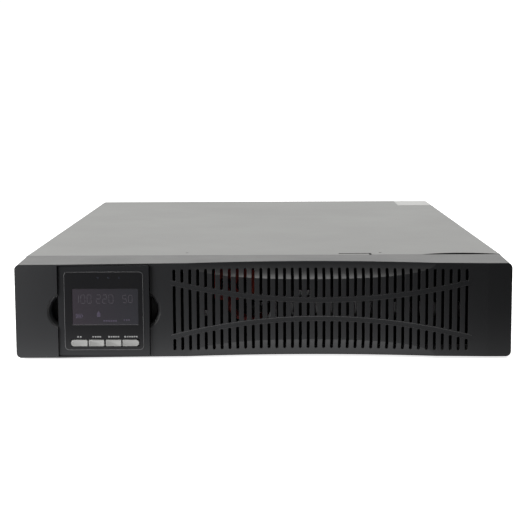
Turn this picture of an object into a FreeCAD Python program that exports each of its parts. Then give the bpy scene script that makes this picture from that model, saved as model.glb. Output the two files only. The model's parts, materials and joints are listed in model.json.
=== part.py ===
import FreeCAD, Part
import math
import os

# Two-unit rack uninterruptible power supply, built as separate pieces.
# Frame: X to the right of the front, Y from front to back, Z up.
# The origin is the centre of the bottom of the whole unit.  All sizes in mm.

# ---- whole unit ---------------------------------------------------------
WIDTH = 438.0
HEIGHT = 86.5
DEPTH = 630.0
FRONT = -DEPTH / 2
BACK = DEPTH / 2
BEZEL_DEPTH = 50.0
SEAM = FRONT + BEZEL_DEPTH            # back edge of the front bezel
SEAM_GAP = 0.4                        # between the bezel and the steel case
CASE_FRONT = SEAM + SEAM_GAP
CASE_HALF = 218.0                     # half the outer width of the steel case
SHEET = 1.2                           # case sheet thickness
FIT = 0.1                             # gap between pieces that are fixed together
FLOOR_TOP = SHEET
ROOF_BOTTOM = HEIGHT - SHEET
INNER_HALF = CASE_HALF - 2 * SHEET - 2 * FIT

# ---- front bezel --------------------------------------------------------
BEZEL_DROP = 1.6                      # top and bottom run in this far at the front
BEZEL_CORNER = 4.5
BEZEL_WALL = 2.5
FACE_WALL = 3.0
FACE_ARC_X = 8.5                      # the face is slightly hollow in plan
FACE_ARC_R = 2568.0
FACE_ARC_DEPTH = 7.0
COVE_ARC_X = 35.0                     # scooped crescents along the top and bottom edge
COVE_ARC_R = 570.0
COVE_DEPTH = 15.2
COVE_R = 17.0
MID_Z = HEIGHT / 2

SLOT_COUNT = 38
SLOT_FIRST_X = -78.8
SLOT_LAST_X = 179.5
SLOT_WIDTH = 2.7
SLOT_HALF_HEIGHT = 36.3
BAR_CENTRE_X = 50.4                   # the two cross bars bow towards each other here
BAR_OFFSET = 8.2
BAR_CURVE = 9.3e-4
BAR_THICK = 4.4

CLIP_Z = (5.5, 78.0)
CLIP_X = (-205.0, 208.3)
CLIP_SIZE = (6.4, 3.0)
CLIP_REACH = 11.0
CLIP_HOLE_GAP = 0.5

# ---- display module -----------------------------------------------------
MODULE_X = -141.0
MODULE_Z = MID_Z
MODULE_SIDE = 80.4
MODULE_FACE = FRONT + 2.0
MODULE_BACK = MODULE_FACE + 28.0
MODULE_WALL = 2.0
MODULE_PLATE = 2.6
MODULE_GAP = 0.4
POCKET_WALL = 1.6
POCKET_FLOOR = 2.0
POCKET_PORT = 46.0
SCOOP_R = 17.8                        # half-moon finger recess beside the module
SCOOP_REACH = 9.5
SCOOP_RIM = 1.2                       # its softened edge, before the straight well
SCOOP_DEEP = 20.0
SCOOP_TAPER = 1.4

LENS_X = (-175.9, -105.9)
LENS_Z = (8.2, 78.2)
LENS_CORNER = 3.7
LENS_THICK = 1.5
LENS_PROUD = 0.3
LENS_GAP = 0.15
WINDOW_X = (-169.0, -110.5)
WINDOW_Z = (30.4, 63.1)
LCD_DEEP = 6.5

BUTTON_X = (-163.2, -147.9, -132.8, -117.5)
BUTTON_W = (14.6, 13.6, 13.6, 14.6)
BUTTON_Z = 14.6
BUTTON_H = 5.6
BUTTON_GAP = 0.3
BUTTON_PROUD = 1.0
BUTTON_TRAVEL = 0.6
BUTTON_FLANGE = 0.7
BOARD_THICK = 1.6
BOARD_Y = MODULE_FACE + 12.0
SWITCH_DEEP = 3.6

# ---- steel case ---------------------------------------------------------
CASE_CORNER = 2.2                     # bend radius of the cover's long edges
RACK_HOLE_R = 2.1
RACK_HOLE_Y = (CASE_FRONT + 20.0, CASE_FRONT + 50.0)
RACK_HOLE_Z = (20.0, 66.0)
SIDE_SCREW_Y = (-150.0, 30.0, 210.0)
SIDE_SCREW_Z = 12.0
LATCH_X = (69.3, 99.5)                # slot that frees a latch tongue at the cover's front edge
LATCH_Y = (-258.2, -253.7)
LATCH_LEG = 2.4
DIMPLES = ((108.2, -249.4), (-71.0, -246.7))
DIMPLE_R = 1.4
GAP_X = 182.0                         # the cover's front edge bows back here, on the right
GAP_HALF = 36.0
GAP_DEEP = 10.5
GAP_UNDERCUT = 6.0                    # the sheet thins to an edge there, from beneath
LABEL_X = (173.0, 216.0)
LABEL_Y = (246.0, 312.0)
LABEL_THICK = 0.15
PANEL_SET_BACK = 8.0                  # the inner front wall behind the case's front edge
PANEL_FRONT = CASE_FRONT + PANEL_SET_BACK
PANEL_BACK = PANEL_FRONT + SHEET

# ---- battery bay --------------------------------------------------------
BAY_LEFT = -90.0
BAY_BACK = 74.0
BATTERY = (94.0, 151.0, 65.0)
BATTERY_GAP = 1.0
TRAY_SHEET = 1.0
TRAY_X0 = -80.5
TRAY_Y0 = -248.0
TRAY_Z0 = 2.0
TRAY_SIDE_HEIGHT = 38.0
TAB = (6.35, 0.8, 6.5)
MOUTH_X = (-82.0, 202.0)
MOUTH_Z = (13.0, 73.5)
DOOR_X = (-86.0, 205.0)
DOOR_Z = (9.0, 79.5)
DOOR_SCREWS = ((-72.0, 76.5), (90.0, 76.5), (198.0, 76.5),
               (33.0, 50.8), (41.0, 50.8), (-52.6, 32.0), (-23.4, 29.0))
SCREW_HEAD_R = 2.6
SCREW_SHANK_R = 1.4
HANDLE_X = (33.0, 113.0)
HANDLE_R = 2.5
HANDLE_DROP = 16.0
PLUG_X = (-44.0, -8.0)
PLUG_Z = (49.0, 77.0)
PLUG_FRONT = FRONT + 25.0
PLUG_BACK = PANEL_FRONT - 6.0
SOCKET_BACK = PANEL_BACK + 5.0
LEAD_R = 3.2
LEAD_PITCH = 16.0
LINK_R = 1.6

# ---- electronics --------------------------------------------------------
CONTROL_BOARD_Z = 14.0
POWER_BOARD_Z = 9.0
POWER_TOP = POWER_BOARD_Z + BOARD_THICK
FIN_COUNT = 16
FIN_PITCH = 8.1
CAPACITOR_R = 17.0
CAPACITOR_HEIGHT = 52.0

# ---- rear ---------------------------------------------------------------
REAR_LIP = 4.5                        # case edges stand this far behind the rear panel
REAR_FACE = BACK - REAR_LIP
REAR_INNER = REAR_FACE - SHEET
FAN_SIDE = 80.0
FAN_DEEP = 25.0
FAN_X = (62.0, -22.0)
FAN_Z = MID_Z - 1.0
FAN_HOLE_PITCH = 71.5
FAN_BORE_R = 38.0
FAN_BLADE_R = 36.8
FAN_HUB_R = 16.0
FAN_SHAFT_R = 1.5
FAN_SHAFT_FIT = 0.05
OUTLET_W = 27.6
OUTLET_H = 19.2
OUTLET_DEEP = 20.0
OUTLET_WALL = 1.2
OUTLET_MOAT = 2.2                     # space round the tongue that a connector slides into
OUTLET_BANK_X = (-84.0, -117.0)
OUTLET_BANK_W = 31.5
OUTLET_BANK_Z = (2.2, 82.6)
INLET_X = -165.0
INLET_Z = 20.5
BREAKER_X = -165.0
BREAKER_Z = 62.0
BREAKER_NUT_R = 8.0
BREAKER_BUTTON_R = 5.0
CARD_SLOT_X = (122.0, 198.0)
CARD_SLOT_Z = (47.0, 79.0)
CARD_SCREW_X = (117.0, 203.0)
CARD_SCREW_Z = 63.0
USB_X = 128.0
SERIAL_X = 175.0
PORT_Z = 22.0
STUD_X = -200.0
STUD_Z = 70.0

os.makedirs("parts", exist_ok=True)


# ---- helpers ------------------------------------------------------------
def box(x, y, z):
    """A block from three (low, high) pairs."""
    base = FreeCAD.Vector(x[0], y[0], z[0])
    return Part.makeBox(x[1] - x[0], y[1] - y[0], z[1] - z[0], base)


def centred_box(size, centre):
    """A block from its three sizes and its centre."""
    pairs = [(c - s / 2, c + s / 2) for s, c in zip(size, centre)]
    return box(*pairs)


def rod(radius, length, start, axis):
    """A cylinder from its start point along an axis."""
    return Part.makeCylinder(radius, length, FreeCAD.Vector(*start), FreeCAD.Vector(*axis))


def rounded_wire(x, z, radius, y):
    """A rounded rectangle that faces along Y."""
    x0, x1 = x
    z0, z1 = z
    diagonal = radius * (1 - math.sqrt(0.5))

    def point(px, pz):
        return FreeCAD.Vector(px, y, pz)

    edges = [
        Part.makeLine(point(x0 + radius, z0), point(x1 - radius, z0)),
        Part.Arc(point(x1 - radius, z0), point(x1 - diagonal, z0 + diagonal),
                 point(x1, z0 + radius)).toShape(),
        Part.makeLine(point(x1, z0 + radius), point(x1, z1 - radius)),
        Part.Arc(point(x1, z1 - radius), point(x1 - diagonal, z1 - diagonal),
                 point(x1 - radius, z1)).toShape(),
        Part.makeLine(point(x1 - radius, z1), point(x0 + radius, z1)),
        Part.Arc(point(x0 + radius, z1), point(x0 + diagonal, z1 - diagonal),
                 point(x0, z1 - radius)).toShape(),
        Part.makeLine(point(x0, z1 - radius), point(x0, z0 + radius)),
        Part.Arc(point(x0, z0 + radius), point(x0 + diagonal, z0 + diagonal),
                 point(x0 + radius, z0)).toShape(),
    ]
    return Part.Wire(edges)


def rounded_prism(x, y, z, radius):
    """A block whose four edges along Y are rounded."""
    face = Part.Face(rounded_wire(x, z, radius, y[0]))
    return face.extrude(FreeCAD.Vector(0, y[1] - y[0], 0))


def grow(pair, amount):
    return (pair[0] - amount, pair[1] + amount)


def fuse(shapes):
    return shapes[0].multiFuse(shapes[1:]).removeSplitter()


def cut(shape, tools):
    return shape.cut(Part.makeCompound(tools))


def save(name, shape):
    shape.exportStep("parts/" + name + ".step")
    print(name, "solids", len(shape.Solids), "valid", shape.isValid())


# ---- front bezel --------------------------------------------------------
def bezel_block(inset, front, back):
    """The bezel's outside shape, or its inside shape when it is inset."""
    half = WIDTH / 2 - inset
    slope = BEZEL_DROP / BEZEL_DEPTH
    rims = []
    for y in (front, back):
        drop = inset + slope * (SEAM - y)
        radius = max(BEZEL_CORNER - inset, 1.0)
        rims.append(rounded_wire((-half, half), (drop, HEIGHT - drop), radius, y))
    return Part.makeLoft(rims, True, True)


def face_hollow(offset):
    """The large upright cylinder that hollows the front face."""
    radius = FACE_ARC_R + offset
    centre_y = FRONT + FACE_ARC_DEPTH - FACE_ARC_R
    return rod(radius, HEIGHT + 40, (FACE_ARC_X, centre_y, -20), (0, 0, 1))


def coves(offset):
    """The curved tubes that scoop the top and bottom front edges."""
    centre = (COVE_ARC_X, FRONT + COVE_DEPTH - COVE_ARC_R)
    rings = []
    for z in (BEZEL_DROP, HEIGHT - BEZEL_DROP):
        middle = FreeCAD.Vector(centre[0], centre[1], z)
        ring = Part.makeTorus(COVE_ARC_R - COVE_R, COVE_R + offset, middle)
        rings.append(ring)
    return rings


def bar_offset(x):
    """Height of a cross bar's centre above or below the middle."""
    return BAR_OFFSET + BAR_CURVE * (x - BAR_CENTRE_X) ** 2


def grille_slots():
    """Upright slots in columns, each column split by the two bowed bars."""
    pitch = (SLOT_LAST_X - SLOT_FIRST_X) / (SLOT_COUNT - 1)
    reach = (FRONT - 2, FRONT + 30)
    tools = []
    for column in range(SLOT_COUNT):
        x = SLOT_FIRST_X + column * pitch
        low = bar_offset(x) - BAR_THICK / 2
        high = bar_offset(x) + BAR_THICK / 2
        spans = ((-SLOT_HALF_HEIGHT, -high), (-low, low), (high, SLOT_HALF_HEIGHT))
        for bottom, top in spans:
            sides = (x - SLOT_WIDTH / 2, x + SLOT_WIDTH / 2)
            ends = (MID_Z + bottom, MID_Z + top)
            tools.append(rounded_prism(sides, reach, ends, SLOT_WIDTH / 2 - 0.02))
    return tools


def face_y(x):
    """Where the hollow front face lies at one place across its width."""
    rise = FACE_ARC_R - math.sqrt(FACE_ARC_R ** 2 - (x - FACE_ARC_X) ** 2)
    return max(FRONT, FRONT + FACE_ARC_DEPTH - rise)


def scoop(side, offset):
    """One half-moon finger recess beside the display module: a soft rim, then a deep well."""
    pocket_edge = MODULE_SIDE / 2 + MODULE_GAP
    centre_x = MODULE_X + side * (pocket_edge + SCOOP_REACH - SCOOP_R)
    mouth_y = face_y(MODULE_X + side * (pocket_edge + SCOOP_REACH))
    mouth = SCOOP_R + offset
    neck = mouth - SCOOP_RIM
    inwards = FreeCAD.Vector(0, 1, 0)
    rim_start = FreeCAD.Vector(centre_x, mouth_y - SCOOP_RIM, MID_Z)
    rim = Part.makeCone(mouth + SCOOP_RIM, neck, 2 * SCOOP_RIM, rim_start, inwards)
    well_y = mouth_y + SCOOP_RIM
    deep = FRONT + SCOOP_DEEP + offset - well_y
    well_start = FreeCAD.Vector(centre_x, well_y, MID_Z)
    well = Part.makeCone(neck, neck - SCOOP_TAPER, deep, well_start, inwards)
    return rim.fuse(well)


def module_square(half, y):
    return box((MODULE_X - half, MODULE_X + half), y, (MODULE_Z - half, MODULE_Z + half))


def clip_arms():
    """Four hooks on the back of the bezel and the webs that carry them."""
    arms = []
    for x in CLIP_X:
        for z in CLIP_Z:
            sides = (x, x + CLIP_SIZE[0])
            web_z = (1.5, z + CLIP_SIZE[1]) if z < MID_Z else (z, HEIGHT - 1.5)
            arms.append(box(sides, (SEAM - 25, SEAM - 1), web_z))
            arms.append(box(sides, (SEAM - 2, SEAM + CLIP_REACH), (z, z + CLIP_SIZE[1])))
    return arms


def build_bezel():
    outside = bezel_block(0, FRONT, SEAM)
    inside = bezel_block(BEZEL_WALL, FRONT + FACE_WALL, SEAM + 0.01)
    inside = inside.cut(face_hollow(FACE_WALL))
    for ring in coves(FACE_WALL):
        inside = inside.cut(ring)
    pocket_half = MODULE_SIDE / 2 + MODULE_GAP
    pocket_back = MODULE_BACK + MODULE_GAP
    walls = module_square(pocket_half + POCKET_WALL, (FRONT, pocket_back + POCKET_FLOOR))
    for side in (-1, 1):
        walls = walls.fuse(scoop(side, POCKET_WALL))
    for arm in clip_arms():
        walls = walls.fuse(arm)
    trimmed = outside.common(box((-300, 300), (FRONT - 5, SEAM + 20), (-5, 100)))
    hooks = [a.cut(box((-300, 300), (FRONT, SEAM - 0.5), (-5, 100))) for a in clip_arms()]
    shell = outside.cut(inside)
    body = shell.fuse(walls.common(trimmed))
    body = body.multiFuse(hooks)
    body = body.cut(face_hollow(0))
    for ring in coves(0):
        body = body.cut(ring)
    body = body.cut(module_square(pocket_half, (FRONT - 5, pocket_back)))
    for side in (-1, 1):
        body = body.cut(scoop(side, 0))
    body = body.cut(module_square(POCKET_PORT / 2, (FRONT, SEAM)))
    body = cut(body, grille_slots())
    return body.removeSplitter()


# ---- display module -----------------------------------------------------
def button_slots(gap, y):
    tools = []
    for x, w in zip(BUTTON_X, BUTTON_W):
        sides = grow((x - w / 2, x + w / 2), gap)
        ends = grow((BUTTON_Z - BUTTON_H / 2, BUTTON_Z + BUTTON_H / 2), gap)
        tools.append(box(sides, y, ends))
    return tools


def build_display_housing():
    half = MODULE_SIDE / 2
    sides = (MODULE_X - half, MODULE_X + half)
    ends = (MODULE_Z - half, MODULE_Z + half)
    body = rounded_prism(sides, (MODULE_FACE, MODULE_BACK), ends, 0.8)
    inner = module_square(half - MODULE_WALL, (MODULE_FACE + MODULE_PLATE, MODULE_BACK + 1))
    lens_back = MODULE_FACE + LENS_THICK - LENS_PROUD
    recess = rounded_prism(grow(LENS_X, LENS_GAP), (MODULE_FACE - 1, lens_back),
                           grow(LENS_Z, LENS_GAP), LENS_CORNER)
    window = box(grow(WINDOW_X, FIT), (FRONT, BOARD_Y), grow(WINDOW_Z, FIT))
    tools = [inner, recess, window] + button_slots(BUTTON_GAP, (FRONT - 2, BOARD_Y))
    return cut(body, tools)


def build_display_lens():
    front = MODULE_FACE - LENS_PROUD
    plate = rounded_prism(LENS_X, (front, front + LENS_THICK), LENS_Z, LENS_CORNER)
    rim = [e for e in plate.Edges if abs(e.CenterOfMass.y - front) < 1e-6]
    plate = plate.makeChamfer(0.4, rim)
    window = box(WINDOW_X, (FRONT - 2, BOARD_Y), WINDOW_Z)
    return cut(plate, [window] + button_slots(BUTTON_GAP, (FRONT - 2, BOARD_Y)))


def build_lcd_screen():
    front = MODULE_FACE - LENS_PROUD + 0.3
    return box(grow(WINDOW_X, -FIT), (front, front + LCD_DEEP), grow(WINDOW_Z, -FIT))


def build_button(index):
    """A cap, the flange that holds it in, and the stem that meets its switch."""
    x = BUTTON_X[index]
    half = BUTTON_W[index] / 2
    front = MODULE_FACE - LENS_PROUD - BUTTON_PROUD
    plate_back = MODULE_FACE + MODULE_PLATE
    ends = (BUTTON_Z - BUTTON_H / 2, BUTTON_Z + BUTTON_H / 2)
    cap = rounded_prism((x - half, x + half), (front, plate_back + 1), ends, 0.6)
    if index in (0, len(BUTTON_X) - 1):
        side = -1 if index == 0 else 1
        round_x = x + side * (half - BUTTON_H / 2)
        keep = box((x - half, x + half), (front - 1, plate_back + 2), ends)
        corner_x = (x - half, round_x) if side < 0 else (round_x, x + half)
        square_end = box(corner_x, (front - 1, plate_back + 2), grow(ends, 1))
        round_end = rod(BUTTON_H / 2, plate_back + 1 - front, (round_x, front, BUTTON_Z), (0, 1, 0))
        cap = keep.common(cap).cut(square_end).fuse(round_end)
    flange_y = (plate_back + BUTTON_GAP, plate_back + BUTTON_GAP + 1)
    flange = box((x - half, x + half), flange_y, grow(ends, BUTTON_GAP + BUTTON_FLANGE))
    stem_end = BOARD_Y - SWITCH_DEEP - BUTTON_TRAVEL - 0.3
    stem = rod(1.6, stem_end - front - 2, (x, front + 2, BUTTON_Z), (0, 1, 0))
    return fuse([cap, flange, stem])


def build_display_board():
    half = MODULE_SIDE / 2 - MODULE_WALL - 0.5
    board = module_square(half, (BOARD_Y, BOARD_Y + BOARD_THICK))
    chip = centred_box((14, 2, 14), (MODULE_X - 12, BOARD_Y + BOARD_THICK + 1, MODULE_Z + 10))
    socket = centred_box((18, 8, 6), (MODULE_X, BOARD_Y + BOARD_THICK + 4, MODULE_Z - 14))
    return fuse([board, chip, socket])


def build_display_switches():
    solids = []
    for x in BUTTON_X:
        body = centred_box((6, SWITCH_DEEP - 0.8, 6), (x, BOARD_Y - (SWITCH_DEEP - 0.8) / 2, BUTTON_Z))
        tip = rod(1.7, 1.0, (x, BOARD_Y - SWITCH_DEEP, BUTTON_Z), (0, 1, 0))
        solids.append(fuse([body, tip]))
    return Part.makeCompound(solids)


def build_display_back():
    half = MODULE_SIDE / 2 - MODULE_WALL - FIT
    plate = module_square(half, (MODULE_BACK - 2.5, MODULE_BACK - 0.5))
    port = module_square(12, (MODULE_BACK - 4, MODULE_BACK))
    posts = []
    for sx in (-1, 1):
        for sz in (-1, 1):
            start = (MODULE_X + sx * 32, BOARD_Y + BOARD_THICK, MODULE_Z + sz * 32)
            posts.append(rod(2.5, MODULE_BACK - 2 - start[1], start, (0, 1, 0)))
    return fuse([plate.cut(port)] + posts)


# ---- steel case ---------------------------------------------------------
def rack_holes():
    """Four holes in a rectangle on each side, near the front, for the rack ears."""
    tools = []
    for y in RACK_HOLE_Y:
        for z in RACK_HOLE_Z:
            start = (-CASE_HALF - 10, y, z)
            tools.append(rod(RACK_HOLE_R, 2 * CASE_HALF + 20, start, (1, 0, 0)))
    return tools


def cover_screw_spots():
    return [(side, y) for side in (-1, 1) for y in SIDE_SCREW_Y]


def cover_screw_holes():
    tools = []
    for side, y in cover_screw_spots():
        start = (side * (INNER_HALF - 6), y, SIDE_SCREW_Z)
        tools.append(rod(SCREW_SHANK_R + FIT, 20, start, (side, 0, 0)))
    return tools


def build_chassis_base():
    half = CASE_HALF - SHEET - FIT
    floor = box((-half, half), (CASE_FRONT, BACK), (0, SHEET))
    shapes = [floor]
    for side in (-1, 1):
        wall_x = sorted((side * half, side * (half - SHEET)))
        shapes.append(box(wall_x, (CASE_FRONT, BACK), (0, ROOF_BOTTOM - 1.2)))
    body = fuse(shapes)
    return cut(body, rack_holes() + cover_screw_holes())


def edge_gap():
    """The shallow bowed gap where the cover's edge runs back from the bezel on the right."""
    radius = (GAP_HALF ** 2 + GAP_DEEP ** 2) / (2 * GAP_DEEP)
    start = FreeCAD.Vector(GAP_X, CASE_FRONT + GAP_DEEP - radius, ROOF_BOTTOM)
    upwards = FreeCAD.Vector(0, 0, 1)
    return Part.makeCone(radius + GAP_UNDERCUT, radius, HEIGHT - ROOF_BOTTOM, start, upwards)


def latch_slot():
    """A slot and its short leg to the front edge, which free a latch tongue."""
    depth = (ROOF_BOTTOM - 1, HEIGHT + 1)
    along = box(LATCH_X, LATCH_Y, depth)
    leg = box((LATCH_X[1] - LATCH_LEG, LATCH_X[1]), (CASE_FRONT - 1, LATCH_Y[1]), depth)
    return along.fuse(leg)


def build_chassis_cover():
    outer = rounded_prism((-CASE_HALF, CASE_HALF), (CASE_FRONT, BACK), (-10, HEIGHT), CASE_CORNER)
    inner_half = CASE_HALF - SHEET
    inner_y = (CASE_FRONT - 1, BACK + 1)
    inner = rounded_prism((-inner_half, inner_half), inner_y, (-20, ROOF_BOTTOM), CASE_CORNER - SHEET)
    below = box((-WIDTH, WIDTH), (-DEPTH, DEPTH), (-30, 0.8))
    dimples = [rod(DIMPLE_R, 5, (x, y, ROOF_BOTTOM - 1), (0, 0, 1)) for x, y in DIMPLES]
    tools = [inner, below, latch_slot(), edge_gap()] + dimples
    return cut(outer, tools + rack_holes() + cover_screw_holes())


def build_cover_screws():
    solids = []
    for side, y in cover_screw_spots():
        place = (side * CASE_HALF, y, SIDE_SCREW_Z)
        head = rod(SCREW_HEAD_R + 0.4, 1.0, place, (side, 0, 0))
        shank = rod(SCREW_SHANK_R, 6.0, place, (-side, 0, 0))
        outside = (side * (CASE_HALF + 1.0), y, SIDE_SCREW_Z)
        slots = [centred_box((1.0, 3.6, 0.7), outside), centred_box((1.0, 0.7, 3.6), outside)]
        solids.append(cut(fuse([head, shank]), slots))
    return Part.makeCompound(solids)


def build_cover_label():
    return box(LABEL_X, LABEL_Y, (HEIGHT, HEIGHT + LABEL_THICK))


def clip_holes():
    tools = []
    for x in CLIP_X:
        for z in CLIP_Z:
            sides = grow((x, x + CLIP_SIZE[0]), CLIP_HOLE_GAP)
            ends = grow((z, z + CLIP_SIZE[1]), CLIP_HOLE_GAP)
            tools.append(box(sides, (SEAM - 1, SEAM + 20), ends))
    return tools


def door_screw_holes():
    y = PANEL_FRONT - 10
    return [rod(SCREW_SHANK_R + FIT, 20, (x, y, z), (0, 1, 0)) for x, z in DOOR_SCREWS]


def build_front_panel():
    """The steel wall behind the bezel: its rim, the bay mouth and the clip holes."""
    plate = box((-INNER_HALF, INNER_HALF), (PANEL_FRONT, PANEL_BACK), (SHEET, ROOF_BOTTOM - FIT))
    through = (PANEL_FRONT - 1, PANEL_BACK + 1)
    mouth = box(MOUTH_X, through, MOUTH_Z)
    port = module_square(POCKET_PORT / 2, through)
    return cut(plate, [mouth, port] + clip_holes() + door_screw_holes())


def build_battery_door():
    """A pierced steel door over the battery bay."""
    plate = box(DOOR_X, (PANEL_FRONT - SHEET, PANEL_FRONT), DOOR_Z)
    through = (PANEL_FRONT - 3, PANEL_FRONT + 1)
    slots = []
    for row in range(2):
        for column in range(14):
            x = 24.0 + column * 12.0
            z = 27.0 + row * 26.0
            slots.append(rounded_prism((x, x + 4.0), through, (z, z + 16.0), 1.9))
    port = box(grow(PLUG_X, 0.5), through, (PLUG_Z[0] - 0.5, DOOR_Z[1] + 1))
    leads = box((-6.0, 12.0), through, (22.0, 46.0))
    return cut(plate, slots + [port, leads] + door_screw_holes())


def build_door_screws():
    face = PANEL_FRONT - SHEET
    solids = []
    for x, z in DOOR_SCREWS:
        head = rod(SCREW_HEAD_R, 1.8, (x, face - 1.8, z), (0, 1, 0))
        shank = rod(SCREW_SHANK_R, 5.0, (x, face, z), (0, 1, 0))
        slot = centred_box((4.0, 1.6, 0.7), (x, face - 1.8, z))
        solids.append(fuse([head, shank]).cut(slot))
    return Part.makeCompound(solids)


def build_divider_wall():
    """A bent steel wall round the left side and back of the battery bay."""
    top = ROOF_BOTTOM - FIT
    side = box((BAY_LEFT, BAY_LEFT + SHEET), (PANEL_BACK, BAY_BACK), (SHEET, top))
    rear = box((BAY_LEFT, INNER_HALF), (BAY_BACK - SHEET, BAY_BACK), (SHEET, top))
    wiring = box((150.0, 190.0), (BAY_BACK - 5, BAY_BACK + 5), (72.0, HEIGHT))
    return fuse([side, rear]).cut(wiring)


# ---- batteries ----------------------------------------------------------
def battery_corner(index):
    column = index % 3
    row = index // 3
    x = TRAY_X0 + TRAY_SHEET + 0.5 + column * (BATTERY[0] + BATTERY_GAP)
    y = TRAY_Y0 + TRAY_SHEET + 0.5 + row * (BATTERY[1] + BATTERY_GAP)
    return x, y, TRAY_Z0 + TRAY_SHEET


def tab_spots(index):
    x, y, z = battery_corner(index)
    front = y + 10.0
    top = z + BATTERY[2]
    return [(x + 16.0, front, top), (x + BATTERY[0] - 16.0, front, top)]


def build_battery(index):
    x, y, z = battery_corner(index)
    sides = (x, x + BATTERY[0])
    ends = (y, y + BATTERY[1])
    top = z + BATTERY[2]
    case = box(sides, ends, (z, top - 3))
    lid = box(grow(sides, -1), grow(ends, -1), (top - 4, top))
    shapes = [case, lid]
    for spot in tab_spots(index):
        tab_x = grow((spot[0], spot[0]), TAB[0] / 2)
        tab_y = grow((spot[1], spot[1]), TAB[1] / 2)
        shapes.append(box(tab_x, tab_y, (spot[2] - 1, spot[2] + TAB[2])))
    return fuse(shapes)


def build_battery_tray():
    wide = 3 * BATTERY[0] + 2 * BATTERY_GAP + 1.0
    long = 2 * BATTERY[1] + BATTERY_GAP + 1.0
    outer_x = (TRAY_X0, TRAY_X0 + wide + 2 * TRAY_SHEET)
    outer_y = (TRAY_Y0, TRAY_Y0 + long + 2 * TRAY_SHEET)
    outer = box(outer_x, outer_y, (TRAY_Z0, TRAY_Z0 + TRAY_SIDE_HEIGHT))
    inner = box(grow(outer_x, -TRAY_SHEET), grow(outer_y, -TRAY_SHEET), (TRAY_Z0 + TRAY_SHEET, 200))
    return outer.cut(inner)


def build_battery_handle():
    """A wire pull folded flat on the front of the tray."""
    y = TRAY_Y0 - HANDLE_R - FIT
    top = TRAY_Z0 + 26.0
    low = top - HANDLE_DROP
    shapes = [rod(HANDLE_R, HANDLE_X[1] - HANDLE_X[0], (HANDLE_X[0], y, low), (1, 0, 0))]
    for x in HANDLE_X:
        shapes.append(rod(HANDLE_R, HANDLE_DROP, (x, y, low), (0, 0, 1)))
        shapes.append(Part.makeSphere(HANDLE_R, FreeCAD.Vector(x, y, low)))
        shapes.append(centred_box((12.0, 2 * HANDLE_R, 8.0), (x, y, top)))
    return fuse(shapes)


def route(points):
    """Straight runs through the points, joined by tangent arcs."""
    corners = [FreeCAD.Vector(*p) for p in points]
    here = corners[0]
    edges = []
    for index in range(1, len(corners) - 1):
        before = corners[index] - corners[index - 1]
        after = corners[index + 1] - corners[index]
        trim = 0.45 * min(before.Length, after.Length)
        turn = before.getAngle(after)
        radius = trim / math.tan(turn / 2)
        into = FreeCAD.Vector(before).normalize()
        out_of = FreeCAD.Vector(after).normalize()
        enter = corners[index] - into * trim
        leave = corners[index] + out_of * trim
        inwards = (out_of - into).normalize()
        middle = corners[index] + inwards * (radius / math.cos(turn / 2) - radius)
        edges.append(Part.makeLine(here, enter))
        edges.append(Part.Arc(enter, middle, leave).toShape())
        here = leave
    edges.append(Part.makeLine(here, corners[-1]))
    return Part.Wire(edges)


def tube(points, radius):
    """A round cable along a route."""
    path = route(points)
    ahead = FreeCAD.Vector(*points[1]) - FreeCAD.Vector(*points[0])
    circle = Part.Wire(Part.Circle(FreeCAD.Vector(*points[0]), ahead, radius).toShape())
    return path.makePipeShell([circle], True, True)


def link_ends():
    """The pairs of tabs that the series links join, in battery order."""
    pairs = []
    for here, there in ((0, 1), (1, 2), (5, 4), (4, 3)):
        leaving = 1 if there > here else 0
        pairs.append((tab_spots(here)[leaving], tab_spots(there)[1 - leaving]))
    pairs.append((tab_spots(2)[1], tab_spots(5)[1]))
    return pairs


def build_battery_links():
    """Short wires that join each battery to the next."""
    solids = []
    for a, b in link_ends():
        z = a[2] + TAB[2] + 2.0
        middle = ((a[0] + b[0]) / 2 + 2.0, (a[1] + b[1]) / 2 + 5.0, z)
        wire = tube([(a[0], a[1], z), middle, (b[0], b[1], z)], LINK_R)
        boots = []
        holes = []
        hole = (TAB[0] + 2 * FIT, TAB[1] + 2 * FIT, 2 * TAB[2] + 2 * FIT)
        for x, y, top in (a, b):
            boots.append(centred_box((9, 6, 8), (x, y, top + TAB[2])))
            holes.append(centred_box(hole, (x, y, top)))
        solids.append(fuse([wire] + boots).cut(Part.makeCompound(holes)))
    return Part.makeCompound(solids)


def plug_lead_x():
    middle = sum(PLUG_X) / 2
    return (middle - LEAD_PITCH / 2, middle + LEAD_PITCH / 2)


def build_battery_plug():
    """The loose half of the two-pole battery connector, with its two lead throats."""
    body = rounded_prism(PLUG_X, (PLUG_FRONT, PLUG_BACK), PLUG_Z, 2.5)
    middle = (sum(PLUG_X) / 2, sum(PLUG_Z) / 2)
    tools = []
    for z in PLUG_Z:
        tools.append(centred_box((2.4, 30.0, 10.0), (middle[0], PLUG_FRONT, z)))
    for x in plug_lead_x():
        tools.append(rod(LEAD_R + 3.4, 14, (x, PLUG_FRONT - 1, middle[1]), (0, 1, 0)))
    return cut(body, tools)


def build_battery_socket():
    """The fixed half of the connector, behind the plug."""
    ends = (PLUG_Z[0] + 1, MOUTH_Z[1] - 0.5)
    return rounded_prism(grow(PLUG_X, -0.5), (PLUG_BACK, SOCKET_BACK), ends, 2.5)


def build_leads():
    """The two thick leads from the plug, looping behind the bezel into the bay."""
    left, right = plug_lead_x()
    z = sum(PLUG_Z) / 2
    inside = PLUG_FRONT + 12.0
    ahead = PLUG_FRONT - 6.0
    end = PANEL_BACK + 5.5
    positive = [(left, inside, z), (left, ahead, z), (left + 5, ahead, 38.0),
                (-8.0, PLUG_FRONT + 2, 30.0), (2.0, end, 30.0)]
    negative = [(right, inside, z), (right, ahead, z), (right + 4, ahead, 46.0),
                (2.0, PLUG_FRONT, 39.0), (8.0, end, 39.0)]
    return tube(positive, LEAD_R), tube(negative, LEAD_R)


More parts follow.
